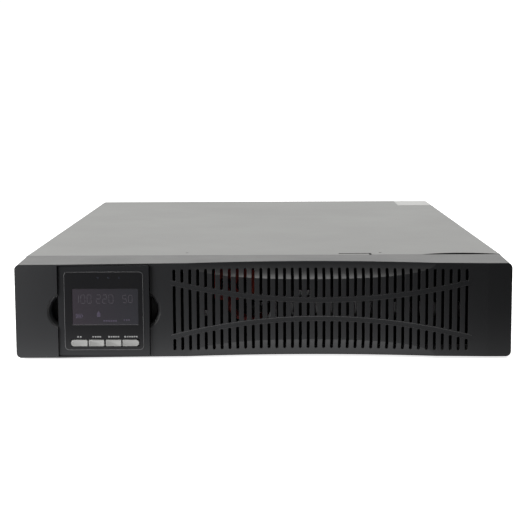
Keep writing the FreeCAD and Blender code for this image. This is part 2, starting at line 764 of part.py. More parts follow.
# ---- electronics --------------------------------------------------------
def build_control_board():
    top = CONTROL_BOARD_Z + BOARD_THICK
    shapes = [box((-208.0, -100.0), (-225.0, -30.0), (CONTROL_BOARD_Z, top))]
    shapes.append(box((-170.0, -150.0), (-150.0, -130.0), (top, top + 3)))
    shapes.append(box((-195.0, -183.0), (-190.0, -120.0), (top, top + 11)))
    shapes.append(box((-130.0, -112.0), (-100.0, -60.0), (top, top + 16)))
    shapes.append(box((-180.0, -150.0), (-90.0, -60.0), (top, top + 20)))
    shapes.append(box((-160.0, -125.0), (-222.0, -212.0), (top, top + 9)))
    return fuse(shapes)


def build_power_board():
    return box((-206.0, 206.0), (84.0, 270.0), (POWER_BOARD_Z, POWER_TOP))


def build_board_standoffs():
    solids = []
    for x in (-198.0, 0.0, 198.0):
        for y in (92.0, 262.0):
            solids.append(rod(3.5, POWER_BOARD_Z - SHEET, (x, y, SHEET), (0, 0, 1)))
    for x in (-203.0, -105.0):
        for y in (-218.0, -37.0):
            solids.append(rod(3.5, CONTROL_BOARD_Z - SHEET, (x, y, SHEET), (0, 0, 1)))
    return Part.makeCompound(solids)


def build_inverter_heatsink():
    """A finned aluminium block in the fans' air path."""
    base_z = POWER_TOP + 2.0
    left = -40.0
    right = left + (FIN_COUNT - 1) * FIN_PITCH + 1.8
    along = (100.0, 250.0)
    shapes = [box((left, right), along, (base_z, base_z + 6))]
    for x in (left, right - 8):
        shapes.append(box((x, x + 8), along, (POWER_TOP, base_z)))
    for index in range(FIN_COUNT):
        x = left + index * FIN_PITCH
        shapes.append(box((x, x + 1.8), along, (base_z + 5, base_z + 58)))
    return fuse(shapes)


def build_bus_capacitors():
    solids = []
    for column in range(3):
        for row in range(4):
            place = (108.0 + column * 37.0, 108.0 + row * 38.0, POWER_TOP)
            solids.append(rod(CAPACITOR_R, CAPACITOR_HEIGHT, place, (0, 0, 1)))
    return Part.makeCompound(solids)


def build_output_inductor():
    """A wound ring core lying on its pad."""
    place = (-82.0, 130.0)
    ring = Part.makeTorus(20.0, 11.0, FreeCAD.Vector(place[0], place[1], POWER_TOP + 15.0))
    pad = rod(24.0, 5.5, (place[0], place[1], POWER_TOP), (0, 0, 1))
    return fuse([ring, pad])


def build_charger_transformer():
    """A ring-shaped core round a taped coil."""
    core = box((-180.0, -130.0), (110.0, 164.0), (POWER_TOP + 4, POWER_TOP + 46))
    windows = [box((-171.0, -139.0), (y, y + 12.0), (POWER_TOP, POWER_TOP + 60)) for y in (117.0, 145.0)]
    coil = box((-175.0, -135.0), (119.5, 154.5), (POWER_TOP, POWER_TOP + 40))
    return fuse([cut(core, windows), coil])


def build_transfer_relays():
    solids = []
    for index in range(4):
        x = -190.0 + index * 32.0
        solids.append(box((x, x + 28.0), (190.0, 205.0), (POWER_TOP, POWER_TOP + 25.0)))
    return Part.makeCompound(solids)


# ---- fans ---------------------------------------------------------------
def fan_y():
    return (REAR_INNER - FAN_DEEP, REAR_INNER)


def fan_corners(x):
    half = FAN_HOLE_PITCH / 2
    return [(x + sx * half, FAN_Z + sz * half) for sx in (-1, 1) for sz in (-1, 1)]


def build_fan_frame(x):
    y0, y1 = fan_y()
    z = FAN_Z
    half = FAN_SIDE / 2
    body = rounded_prism((x - half, x + half), (y0, y1), (z - half, z + half), 4.0)
    bore = rod(FAN_BORE_R, FAN_DEEP + 2, (x, y0 - 1, z), (0, 1, 0))
    holes = [rod(2.2, FAN_DEEP + 2, (cx, y0 - 1, cz), (0, 1, 0)) for cx, cz in fan_corners(x)]
    body = cut(body, [bore] + holes)
    mount = rod(FAN_HUB_R + 1.0, 3.0, (x, y0, z), (0, 1, 0))
    struts = []
    for index in range(4):
        arm = box((0, FAN_BORE_R + 1.0), (y0, y0 + 3.0), (-2, 2))
        arm.rotate(FreeCAD.Vector(0, 0, 0), FreeCAD.Vector(0, 1, 0), 45 + 90 * index)
        arm.translate(FreeCAD.Vector(x, 0, z))
        struts.append(arm)
    shaft = rod(FAN_SHAFT_R, 14.0, (x, y0 + 2, z), (0, 1, 0))
    return fuse([body, mount] + struts + [shaft])


def build_fan_rotor(x):
    """A cup-shaped hub with seven pitched blades."""
    y0 = fan_y()[0] + 3.6
    deep = FAN_DEEP - 5.2
    z = FAN_Z
    hub = rod(FAN_HUB_R, deep, (x, y0, z), (0, 1, 0))
    cup = rod(FAN_HUB_R - 2.0, deep - 4.0, (x, y0 - 1, z), (0, 1, 0))
    core = rod(4.0, deep - 3.5, (x, y0, z), (0, 1, 0))
    bore = rod(FAN_SHAFT_R + FAN_SHAFT_FIT, 14.0, (x, y0 - 1.6, z), (0, 1, 0))
    shapes = [hub.cut(cup).fuse(core)]
    for index in range(7):
        blade = box((FAN_HUB_R - 1.5, FAN_BLADE_R), (-0.7, 0.7), (-11.0, 11.0))
        blade.rotate(FreeCAD.Vector(0, 0, 0), FreeCAD.Vector(1, 0, 0), 48)
        blade.rotate(FreeCAD.Vector(0, 0, 0), FreeCAD.Vector(0, 1, 0), 360.0 * index / 7)
        blade.translate(FreeCAD.Vector(x, y0 + deep / 2, z))
        shapes.append(blade)
    rotor = fuse(shapes)
    sweep = rod(FAN_BLADE_R, deep, (x, y0, z), (0, 1, 0))
    return rotor.common(sweep).cut(bore)


def build_fan_guard(x):
    """A wire finger guard on the outside of the rear panel."""
    z = FAN_Z
    wire = 0.9
    y = REAR_FACE + wire
    shapes = []
    for radius in (9.0, 17.0, 25.0, 33.0):
        shapes.append(Part.makeTorus(radius, wire, FreeCAD.Vector(x, y, z), FreeCAD.Vector(0, 1, 0)))
    for cx, cz in fan_corners(x):
        reach = math.hypot(cx - x, cz - z)
        direction = ((cx - x) / reach, 0, (cz - z) / reach)
        shapes.append(rod(wire * 0.95, reach, (x, y, z), direction))
        ear = rod(4.0, 2 * wire, (cx, REAR_FACE, cz), (0, 1, 0))
        shapes.append(ear)
    shapes.append(rod(3.0, 2 * wire, (x, REAR_FACE, z), (0, 1, 0)))
    guard = fuse(shapes)
    holes = [rod(2.0, 20, (cx, REAR_FACE - 5, cz), (0, 1, 0)) for cx, cz in fan_corners(x)]
    return cut(guard, holes)


def build_fan_screws():
    solids = []
    for x in FAN_X:
        for cx, cz in fan_corners(x):
            head = rod(3.4, 1.9, (cx, REAR_FACE + 1.8, cz), (0, 1, 0))
            shank = rod(1.9, 16.0, (cx, REAR_FACE + 1.8, cz), (0, -1, 0))
            slots = [centred_box((4.2, 1.6, 0.8), (cx, REAR_FACE + 3.7, cz)),
                     centred_box((0.8, 1.6, 4.2), (cx, REAR_FACE + 3.7, cz))]
            solids.append(fuse([head, shank]).cut(Part.makeCompound(slots)))
    return Part.makeCompound(solids)


# ---- rear sockets -------------------------------------------------------
def outlet_centres_z():
    low, high = OUTLET_BANK_Z
    step = (high - low) / 4
    return [low + step * (i + 0.5) for i in range(4)]


def build_outlet_bank(x):
    """Four outlets in one moulding, each a tongue in a well."""
    sides = grow((x, x), OUTLET_W / 2 + OUTLET_WALL)
    flange = box(grow((x, x), OUTLET_BANK_W / 2), (REAR_FACE, REAR_FACE + 2), OUTLET_BANK_Z)
    body = box(sides, (REAR_FACE - OUTLET_DEEP - 4, REAR_FACE + 1), grow(OUTLET_BANK_Z, -OUTLET_WALL))
    bottom = REAR_FACE - OUTLET_DEEP
    wells = []
    tongues = []
    for z in outlet_centres_z():
        well_x = grow((x, x), OUTLET_W / 2 - OUTLET_WALL)
        well_z = grow((z, z), OUTLET_H / 2 - 1.6)
        wells.append(rounded_prism(well_x, (bottom, REAR_FACE + 5), well_z, 2.0))
        tongue = rounded_prism(grow(well_x, -OUTLET_MOAT), (bottom - 1, REAR_FACE + 0.5),
                               grow(well_z, -OUTLET_MOAT), 1.0)
        slits = [centred_box((2.4, 32.0, 5.2), (x + dx, REAR_FACE, z)) for dx in (-7.0, 0.0, 7.0)]
        tongues.append(cut(tongue, slits))
    return cut(flange.fuse(body), wells).multiFuse(tongues)


def inlet_block(half_x, y, half_z):
    return box(grow((INLET_X, INLET_X), half_x), y, grow((INLET_Z, INLET_Z), half_z))


def inlet_pin_blocks(gap):
    """The two power pins and the earth pin above them, or the holes that hold them."""
    blocks = []
    for dx, dz in ((-7.0, -3.5), (7.0, -3.5), (0.0, 4.5)):
        size = (2.0 + 2 * gap, 24.0, 8.0 + 2 * gap)
        blocks.append(centred_box(size, (INLET_X + dx, REAR_FACE - 15.0, INLET_Z + dz)))
    return blocks


def build_inlet():
    """The mains inlet's shroud: a flange and a well with a floor that holds the pins."""
    flange = rounded_prism(grow((INLET_X, INLET_X), 25.0), (REAR_FACE, REAR_FACE + 3),
                           grow((INLET_Z, INLET_Z), 14.5), 2.0)
    body = inlet_block(17.0, (REAR_FACE - 26, REAR_FACE + 1), 12.5)
    well = inlet_block(15.0, (REAR_FACE - 20, REAR_FACE + 5), 10.5)
    return cut(flange.fuse(body), [well] + inlet_pin_blocks(0.05))


def build_inlet_pins():
    return Part.makeCompound(inlet_pin_blocks(0.0))


def build_breaker_body():
    """A press-to-reset breaker: its body, its threaded neck and the ring nut."""
    x, z = BREAKER_X, BREAKER_Z
    case = box((x - 9, x + 9), (REAR_INNER - 32, REAR_INNER), (z - 15, z + 15))
    neck = rod(5.9, 10.0, (x, REAR_INNER - 6, z), (0, 1, 0))
    hole = rod(BREAKER_BUTTON_R + 0.3, 30.0, (x, REAR_INNER - 12, z), (0, 1, 0))
    nut = rod(BREAKER_NUT_R, 2.0, (x, REAR_FACE, z), (0, 1, 0))
    return fuse([case, neck, nut]).cut(hole)


def build_breaker_button():
    x, z = BREAKER_X, BREAKER_Z
    stem = rod(BREAKER_BUTTON_R, 10.0, (x, REAR_FACE - 5.6, z), (0, 1, 0))
    top_edge = [e for e in stem.Edges if abs(e.CenterOfMass.y - (REAR_FACE + 4.4)) < 1e-6]
    return stem.makeFillet(0.8, top_edge)


def build_slot_cover():
    """The blank plate over the communication card slot."""
    plate = box(grow(CARD_SLOT_X, 10.0), (REAR_FACE, REAR_FACE + SHEET), grow(CARD_SLOT_Z, 3.0))
    holes = [rod(1.9, 10, (x, REAR_FACE - 5, CARD_SCREW_Z), (0, 1, 0)) for x in CARD_SCREW_X]
    return cut(plate, holes)


def build_slot_screws():
    solids = []
    for x in CARD_SCREW_X:
        head = rod(4.0, 3.0, (x, REAR_FACE + SHEET, CARD_SCREW_Z), (0, 1, 0))
        shank = rod(1.5, 9.0, (x, REAR_FACE + SHEET + 0.1, CARD_SCREW_Z), (0, -1, 0))
        groove = centred_box((9, 1.0, 0.9), (x, REAR_FACE + 4.0, CARD_SCREW_Z))
        solids.append(fuse([head, shank]).cut(groove))
    return Part.makeCompound(solids)


def port_block(x, half_x, y, half_z):
    return box(grow((x, x), half_x), y, grow((PORT_Z, PORT_Z), half_z))


def build_usb_port():
    outer = port_block(USB_X, 6.0, (REAR_FACE - 16, REAR_FACE + 0.6), 5.5)
    well = port_block(USB_X, 4.3, (REAR_FACE - 12, REAR_FACE + 2), 3.9)
    tongue = port_block(USB_X, 2.9, (REAR_FACE - 13, REAR_FACE - 1), 1.6)
    return fuse([outer.cut(well), tongue])


def build_serial_port():
    """A nine-way socket: steel flange, raised shell, insulator and two posts."""
    middle = (SERIAL_X, SERIAL_X)
    level = (PORT_Z, PORT_Z)
    flange = rounded_prism(grow(middle, 15.4), (REAR_FACE, REAR_FACE + 1), grow(level, 6.2), 1.5)
    shell = rounded_prism(grow(middle, 8.4), (REAR_FACE - 10, REAR_FACE + 3.9), grow(level, 4.1), 2.4)
    posts = [rod(2.7, 3.2, (SERIAL_X + dx, REAR_FACE + 0.5, PORT_Z), (0, 1, 0)) for dx in (-12.4, 12.4)]
    holes = []
    for row, count in ((1.4, 5), (-1.4, 4)):
        for index in range(count):
            x = SERIAL_X + (index - (count - 1) / 2) * 2.75
            holes.append(rod(0.6, 8, (x, REAR_FACE - 3, PORT_Z + row), (0, 1, 0)))
    return cut(fuse([flange, shell] + posts), holes)


def build_ground_stud():
    """The earth stud with its washer and six-sided nut."""
    stud = rod(2.5, 11.9, (STUD_X, REAR_INNER - 8, STUD_Z), (0, 1, 0))
    washer = rod(5.0, 0.8, (STUD_X, REAR_FACE, STUD_Z), (0, 1, 0))
    corners = []
    for index in range(7):
        angle = math.radians(60 * index)
        x = STUD_X + 4.4 * math.cos(angle)
        z = STUD_Z + 4.4 * math.sin(angle)
        corners.append(FreeCAD.Vector(x, REAR_FACE + 0.7, z))
    nut = Part.Face(Part.makePolygon(corners)).extrude(FreeCAD.Vector(0, 2.2, 0))
    return fuse([stud, washer, nut])


def build_rear_panel():
    y = (REAR_INNER, REAR_FACE)
    through = (REAR_INNER - 2, REAR_FACE + 2)
    plate = box((-INNER_HALF, INNER_HALF), y, (SHEET, ROOF_BOTTOM - FIT))
    tools = []
    for x in FAN_X:
        tools.append(rod(FAN_BORE_R - 1, 10, (x, REAR_INNER - 3, FAN_Z), (0, 1, 0)))
        for cx, cz in fan_corners(x):
            tools.append(rod(2.1, 10, (cx, REAR_INNER - 3, cz), (0, 1, 0)))
    for x in OUTLET_BANK_X:
        sides = grow((x, x), OUTLET_W / 2 + OUTLET_WALL + FIT)
        tools.append(box(sides, through, grow(OUTLET_BANK_Z, FIT - OUTLET_WALL)))
    tools.append(inlet_block(17.0 + FIT, through, 12.5 + FIT))
    tools.append(rod(6.0, 10, (BREAKER_X, REAR_INNER - 3, BREAKER_Z), (0, 1, 0)))
    tools.append(box(CARD_SLOT_X, through, CARD_SLOT_Z))
    for x in CARD_SCREW_X:
        tools.append(rod(1.6, 10, (x, REAR_INNER - 3, CARD_SCREW_Z), (0, 1, 0)))
    tools.append(port_block(USB_X, 6.0 + FIT, through, 5.5 + FIT))
    shell_x = grow((SERIAL_X, SERIAL_X), 8.5)
    tools.append(rounded_prism(shell_x, through, grow((PORT_Z, PORT_Z), 4.2), 2.4))
    tools.append(rod(2.6, 10, (STUD_X, REAR_INNER - 3, STUD_Z), (0, 1, 0)))
    return cut(plate, tools)


# ---- build everything ---------------------------------------------------
save("front_bezel", build_bezel())
save("display_housing", build_display_housing())
save("display_lens", build_display_lens())
save("lcd_screen", build_lcd_screen())
save("display_board", build_display_board())
save("display_switches", build_display_switches())
save("display_back", build_display_back())
for number in range(len(BUTTON_X)):
    save("button_" + str(number + 1), build_button(number))

save("chassis_base", build_chassis_base())
save("chassis_cover", build_chassis_cover())
save("cover_screws", build_cover_screws())
save("cover_label", build_cover_label())
save("front_panel", build_front_panel())
save("battery_door", build_battery_door())
save("door_screws", build_door_screws())
save("divider_wall", build_divider_wall())
save("rear_panel", build_rear_panel())

for number in range(6):
    save("battery_" + str(number + 1), build_battery(number))
save("battery_tray", build_battery_tray())
save("battery_handle", build_battery_handle())
save("battery_links", build_battery_links())
save("battery_plug", build_battery_plug())
save("battery_socket", build_battery_socket())
lead_positive, lead_negative = build_leads()
save("lead_positive", lead_positive)
save("lead_negative", lead_negative)

save("control_board", build_control_board())
save("power_board", build_power_board())
save("board_standoffs", build_board_standoffs())
save("inverter_heatsink", build_inverter_heatsink())
save("bus_capacitors", build_bus_capacitors())
save("output_inductor", build_output_inductor())
save("charger_transformer", build_charger_transformer())
save("transfer_relays", build_transfer_relays())

for number, fan_x in enumerate(FAN_X, start=1):
    save("fan_frame_" + str(number), build_fan_frame(fan_x))
    save("fan_rotor_" + str(number), build_fan_rotor(fan_x))
    save("fan_guard_" + str(number), build_fan_guard(fan_x))
save("fan_screws", build_fan_screws())

for number, bank_x in enumerate(OUTLET_BANK_X, start=1):
    save("outlet_bank_" + str(number), build_outlet_bank(bank_x))
save("mains_inlet", build_inlet())
save("inlet_pins", build_inlet_pins())
save("breaker_body", build_breaker_body())
save("breaker_button", build_breaker_button())
save("slot_cover", build_slot_cover())
save("slot_screws", build_slot_screws())
save("usb_port", build_usb_port())
save("serial_port", build_serial_port())
save("ground_stud", build_ground_stud())
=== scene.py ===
# %% [markdown]
# # A rack uninterruptible power supply
# The steel case, the moulded bezel and all inner pieces arrive as a packed
# engineering model.  This lesson dresses that model: every finish is a node
# material, and the fine pieces that the engineering model leaves out are
# shaped here with ordinary mesh operators.

import json
import math

import bpy
from mathutils import Matrix, Vector


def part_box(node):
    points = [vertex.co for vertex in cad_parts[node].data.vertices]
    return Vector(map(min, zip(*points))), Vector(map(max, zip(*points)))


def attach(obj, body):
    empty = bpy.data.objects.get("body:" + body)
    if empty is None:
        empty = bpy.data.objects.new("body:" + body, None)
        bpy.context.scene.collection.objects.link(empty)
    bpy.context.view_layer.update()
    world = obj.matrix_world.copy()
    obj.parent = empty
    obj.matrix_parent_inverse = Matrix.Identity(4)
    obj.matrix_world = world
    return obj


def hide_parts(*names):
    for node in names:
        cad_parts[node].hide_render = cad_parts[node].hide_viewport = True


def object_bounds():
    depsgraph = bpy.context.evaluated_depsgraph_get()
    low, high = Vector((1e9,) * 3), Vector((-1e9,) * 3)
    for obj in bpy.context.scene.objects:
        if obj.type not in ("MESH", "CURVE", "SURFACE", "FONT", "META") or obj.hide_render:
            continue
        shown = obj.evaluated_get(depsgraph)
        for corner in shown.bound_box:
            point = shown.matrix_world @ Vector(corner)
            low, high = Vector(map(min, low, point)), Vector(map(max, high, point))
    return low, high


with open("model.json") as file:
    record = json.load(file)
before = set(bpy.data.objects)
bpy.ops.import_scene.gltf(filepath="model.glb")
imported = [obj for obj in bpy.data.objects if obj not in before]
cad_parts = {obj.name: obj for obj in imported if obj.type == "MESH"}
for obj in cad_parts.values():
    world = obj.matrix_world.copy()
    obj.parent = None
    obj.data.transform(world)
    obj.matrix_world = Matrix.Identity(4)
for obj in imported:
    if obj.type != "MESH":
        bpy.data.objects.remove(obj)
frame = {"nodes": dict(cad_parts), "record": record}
cad_low, cad_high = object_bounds()
MM = 0.001

# %% [markdown]
# ## The camera
# A long lens stands a little over a metre in front of the unit and looks
# slightly down on it.  The camera comes first, so that every later choice can
# be judged from the angle that matters.  Its three turns are written as a
# heading, a tilt and a roll, and a matrix is built from them, because that
# keeps each number readable.

# %% Place the camera
SENSOR = 36.0
LENS = 90.390857
CAMERA_AT = Vector((5.7, -1462.2, 237.0)) * MM
HEADING = math.radians(-0.31)
TILT = math.radians(7.49)
ROLL = math.radians(-0.26)


def camera_axes(heading, tilt, roll):
    """Right, up and forward directions of the camera."""
    forward = Vector((math.sin(heading) * math.cos(tilt),
                      math.cos(heading) * math.cos(tilt),
                      -math.sin(tilt)))
    level = Vector((math.cos(heading), -math.sin(heading), 0))
    upright = level.cross(forward)
    right = math.cos(roll) * level + math.sin(roll) * upright
    up = -math.sin(roll) * level + math.cos(roll) * upright
    return right, up, forward


camera_data = bpy.data.cameras.new("studio_camera")
camera_data.sensor_width = SENSOR
camera_data.lens = LENS
camera_data.clip_start = 0.05
camera_data.clip_end = 50
camera = bpy.data.objects.new("studio_camera", camera_data)
bpy.context.collection.objects.link(camera)
right, up, forward = camera_axes(HEADING, TILT, ROLL)
turn = Matrix((right, up, -forward)).transposed().to_4x4()
camera.matrix_world = Matrix.Translation(CAMERA_AT) @ turn
bpy.context.scene.camera = camera
print("lens", round(camera_data.lens, 2), "mm")

# %% [markdown]
# ## Floor and light
# A product shot wants a plain pale floor and broad soft light.  A dark glossy
# object is drawn by what it mirrors.  The sky glows behind the unit, because
# the flat top, seen at a glancing angle, mirrors that part.  It is dim in
# front, so the black face stays black.  The floor glows just before the
# unit, which lifts the lower edge of the face.  A small lamp close by on the
# left makes the face fade from left to right, which a distant one could not.
# To the eye both floor and sky are plain white.  A Light Path node tells the
# two cases apart, and it is used on the studio only.

# %% Floor, lamps and sky
scene = bpy.context.scene
scene.view_settings.view_transform = "Standard"


def new_material(name):
    """An empty node material with its surface shader and output."""
    material = bpy.data.materials.new(name)
    material.use_nodes = True
    tree = material.node_tree
    shader = tree.nodes["Principled BSDF"]
    return material, tree, shader


def add_node(tree, kind, **settings):
    """A node with its plain properties set by name."""
    node = tree.nodes.new(kind)
    for key, value in settings.items():
        setattr(node, key, value)
    return node


def wire(tree, source, target):
    tree.links.new(source, target)


def math_node(tree, operation, a, b=None):
    """A Math node; a and b may be sockets or numbers."""
    node = add_node(tree, "ShaderNodeMath", operation=operation)
    for index, value in enumerate((a, b)):
        if value is None:
            continue
        if isinstance(value, (int, float)):
            node.inputs[index].default_value = value
        else:
            wire(tree, value, node.inputs[index])
    return node.outputs[0]


def ranged(tree, value, low, high, start=0.0, stop=1.0):
    """Map a value between start and stop to the range from low to high."""
    node = add_node(tree, "ShaderNodeMapRange")
    wire(tree, value, node.inputs["Value"])
    for label, number in (("From Min", start), ("From Max", stop), ("To Min", low), ("To Max", high)):
        node.inputs[label].default_value = number
    return node.outputs[0]


def seen_or_lit(tree, lit, seen, output):
    """Give the eye one shader and every other ray another."""
    path = add_node(tree, "ShaderNodeLightPath")
    either = add_node(tree, "ShaderNodeMixShader")
    wire(tree, path.outputs["Is Camera Ray"], either.inputs["Fac"])
    wire(tree, lit.outputs[0], either.inputs[1])
    wire(tree, seen.outputs[0], either.inputs[2])
    wire(tree, either.outputs[0], output)


NEAR_GLOW = 1.06
RIGHT_FADE = 0.5
FAR_GLOW = 0.02
BACK_GLOW = 0.8
floor_material, floor_tree, floor_shader = new_material("studio_floor")
floor_shader.inputs["Base Color"].default_value = (0.9, 0.9, 0.9, 1)
floor_shader.inputs["Roughness"].default_value = 0.9
floor_shader.inputs["Emission Color"].default_value = (1, 1, 1, 1)
floor_shader.inputs["Emission Strength"].default_value = 0.75
floor_place = add_node(floor_tree, "ShaderNodeTexCoord")
floor_parts = add_node(floor_tree, "ShaderNodeSeparateXYZ")
wire(floor_tree, floor_place.outputs["Object"], floor_parts.inputs[0])
front_edge = cad_low.y
GLOW_RISES_FROM = 0.12
GLOW_RISES_TO = 0.01
BACK_GLOW_REACH = 0.3
before = ranged(floor_tree, floor_parts.outputs["Y"], FAR_GLOW, NEAR_GLOW,
                front_edge - GLOW_RISES_FROM, front_edge - GLOW_RISES_TO)
to_right = ranged(floor_tree, floor_parts.outputs["X"], 1.0, RIGHT_FADE, 0.1, 0.2)
before = math_node(floor_tree, "MULTIPLY", before, to_right)
behind = ranged(floor_tree, floor_parts.outputs["Y"], 0.0, BACK_GLOW - NEAR_GLOW,
                front_edge, front_edge + BACK_GLOW_REACH)
floor_glow = add_node(floor_tree, "ShaderNodeEmission")
wire(floor_tree, math_node(floor_tree, "ADD", before, behind), floor_glow.inputs["Strength"])
seen_or_lit(floor_tree, floor_glow, floor_shader, floor_tree.nodes["Material Output"].inputs["Surface"])
bpy.ops.mesh.primitive_plane_add(size=40, location=(0, 0, -0.0002))
floor = bpy.context.object
floor.name = "studio_floor"
floor.data.materials.append(floor_material)


def soft_lamp(name, place, target, size, power):
    """A square lamp aimed at a point."""
    data = bpy.data.lights.new(name, "AREA")
    data.size = size
    data.energy = power
    lamp = bpy.data.objects.new(name, data)
    bpy.context.collection.objects.link(lamp)
    lamp.location = place
    aim = Vector(target) - Vector(place)
    lamp.rotation_euler = aim.to_track_quat("-Z", "Y").to_euler()
    return lamp


OVERHEAD = 62.0
NEAR_LEFT = 2.35
soft_lamp("overhead_lamp", (0, 0.5, 2.6), (0, 0.1, 0), 3.0, OVERHEAD)
soft_lamp("near_left_lamp", (-0.52, -0.58, 0.2), (-0.2, -0.32, 0.04), 0.3, NEAR_LEFT)

FRONT_SKY = 0.15
BACK_SKY = 1.0
sky = bpy.data.worlds.new("studio_sky")
scene.world = sky
sky.use_nodes = True
sky_tree = sky.node_tree
sky_light = sky_tree.nodes["Background"]
sky_light.inputs["Color"].default_value = (1, 1, 0.985, 1)
sky_place = add_node(sky_tree, "ShaderNodeTexCoord")
sky_parts = add_node(sky_tree, "ShaderNodeSeparateXYZ")
wire(sky_tree, sky_place.outputs["Generated"], sky_parts.inputs[0])
wire(sky_tree, ranged(sky_tree, sky_parts.outputs["Y"], FRONT_SKY, BACK_SKY, -0.2, 0.5),
     sky_light.inputs["Strength"])
sky_seen = add_node(sky_tree, "ShaderNodeBackground")
sky_seen.inputs["Color"].default_value = (1, 1, 1, 1)
sky_seen.inputs["Strength"].default_value = 1.05
seen_or_lit(sky_tree, sky_light, sky_seen, sky_tree.nodes["World Output"].inputs[0])

# %% [markdown]
# ## Shared effects
# Moulded grain, softened edges and a film of dust turn up on many finishes.
# Each is built once as a node group that gives out only masks, heights and
# normals, and is then placed in each material with its own values.

# %% Build the shared node groups


def new_group(name, inputs, outputs):
    """A node group with float inputs and named outputs."""
    group = bpy.data.node_groups.new(name, "ShaderNodeTree")
    for label, value in inputs:
        socket = group.interface.new_socket(label, in_out="INPUT", socket_type="NodeSocketFloat")
        socket.default_value = value
    for label, kind in outputs:
        group.interface.new_socket(label, in_out="OUTPUT", socket_type=kind)
    start = group.nodes.new("NodeGroupInput")
    end = group.nodes.new("NodeGroupOutput")
    return group, start, end


def noise(tree, coordinates, scale, detail=2.0, roughness=0.5):
    """A noise texture; scale may be a socket or a number."""
    node = add_node(tree, "ShaderNodeTexNoise")
    node.inputs["Detail"].default_value = detail
    node.inputs["Roughness"].default_value = roughness
    wire(tree, coordinates, node.inputs["Vector"])
    if isinstance(scale, (int, float)):
        node.inputs["Scale"].default_value = scale
    else:
        wire(tree, scale, node.inputs["Scale"])
    return node.outputs["Fac"]


def build_grain_group():
    """Fine moulded or sprayed grain: a height, and a slow blotch mask."""
    group, start, end = new_group(
        "surface_grain", [("Grain Scale", 900.0), ("Blotch Scale", 9.0)],
        [("Height", "NodeSocketFloat"), ("Blotch", "NodeSocketFloat")])
    place = add_node(group, "ShaderNodeTexCoord")
    fine = noise(group, place.outputs["Object"], start.outputs["Grain Scale"], 3.0, 0.6)
    slow = noise(group, place.outputs["Object"], start.outputs["Blotch Scale"], 4.0, 0.55)
    wire(group, fine, end.inputs["Height"])
    wire(group, slow, end.inputs["Blotch"])
    return group


def build_edge_group():
    """Softened edges: a rounded normal, and a mask that is 1 on corners, used for paler edges that are
    partly wear and partly a painted highlight.
    """
    group, start, end = new_group(
        "soft_edges", [("Radius", 0.0004), ("Wear", 0.5)],
        [("Normal", "NodeSocketVector"), ("Edge", "NodeSocketFloat")])
    rounded = add_node(group, "ShaderNodeBevel", samples=4)
    wire(group, start.outputs["Radius"], rounded.inputs["Radius"])
    plain = add_node(group, "ShaderNodeNewGeometry")
    dot = add_node(group, "ShaderNodeVectorMath", operation="DOT_PRODUCT")
    wire(group, rounded.outputs[0], dot.inputs[0])
    wire(group, plain.outputs["Normal"], dot.inputs[1])
    lost = math_node(group, "SUBTRACT", 1.0, dot.outputs["Value"])
    strong = math_node(group, "MULTIPLY", lost, 4.0)
    place = add_node(group, "ShaderNodeTexCoord")
    broken = noise(group, place.outputs["Object"], 160.0, 3.0, 0.6)
    patchy = math_node(group, "MULTIPLY", strong, broken)
    rubbed_and_lit_edges = math_node(group, "MULTIPLY", patchy, start.outputs["Wear"])
    clamp = add_node(group, "ShaderNodeClamp")
    wire(group, rubbed_and_lit_edges, clamp.inputs["Value"])
    wire(group, rounded.outputs[0], end.inputs["Normal"])
    wire(group, clamp.outputs[0], end.inputs["Edge"])
    return group


def build_dust_group():
    """A thin film that settles on faces that look up."""
    group, start, end = new_group(
        "settled_dust", [("Amount", 0.1)], [("Dust", "NodeSocketFloat")])
    plain = add_node(group, "ShaderNodeNewGeometry")
    parts = add_node(group, "ShaderNodeSeparateXYZ")
    wire(group, plain.outputs["Normal"], parts.inputs[0])
    upward = math_node(group, "MAXIMUM", parts.outputs["Z"], 0.0)
    place = add_node(group, "ShaderNodeTexCoord")
    cloud = noise(group, place.outputs["Object"], 22.0, 5.0, 0.65)
    film = math_node(group, "MULTIPLY", upward, cloud)
    wire(group, math_node(group, "MULTIPLY", film, start.outputs["Amount"]), end.inputs["Dust"])
    return group


GRAIN = build_grain_group()
EDGES = build_edge_group()
DUST = build_dust_group()
print("groups", [g.name for g in (GRAIN, EDGES, DUST)])

# %% [markdown]
# ## The finish recipe
# Nearly all the finishes here are one coloured body with grain, softened and
# slightly paler edges, slow blotches in colour and gloss, and a little dust.
# The paler edges are partly wear and partly a painted highlight.
# One function lays that recipe down, and each finish gives its own numbers.

# %% One recipe for coloured bodies


def place_group(tree, group, **values):
    node = tree.nodes.new("ShaderNodeGroup")
    node.node_tree = group
    for label, value in values.items():
        node.inputs[label.replace("_", " ")].default_value = value
    return node


def mix_colour(tree, factor, first, second):
    """Blend two colours; each may be a socket or an RGB triple."""
    node = add_node(tree, "ShaderNodeMix", data_type="RGBA")
    wire(tree, factor, node.inputs["Factor"])
    for slot, value in ((node.inputs[6], first), (node.inputs[7], second)):
        if isinstance(value, tuple):
            slot.default_value = (*value, 1)
        else:
            wire(tree, value, slot)
    return node.outputs[2]


def scaled(colour, factor):
    return tuple(min(1.0, channel * factor) for channel in colour)


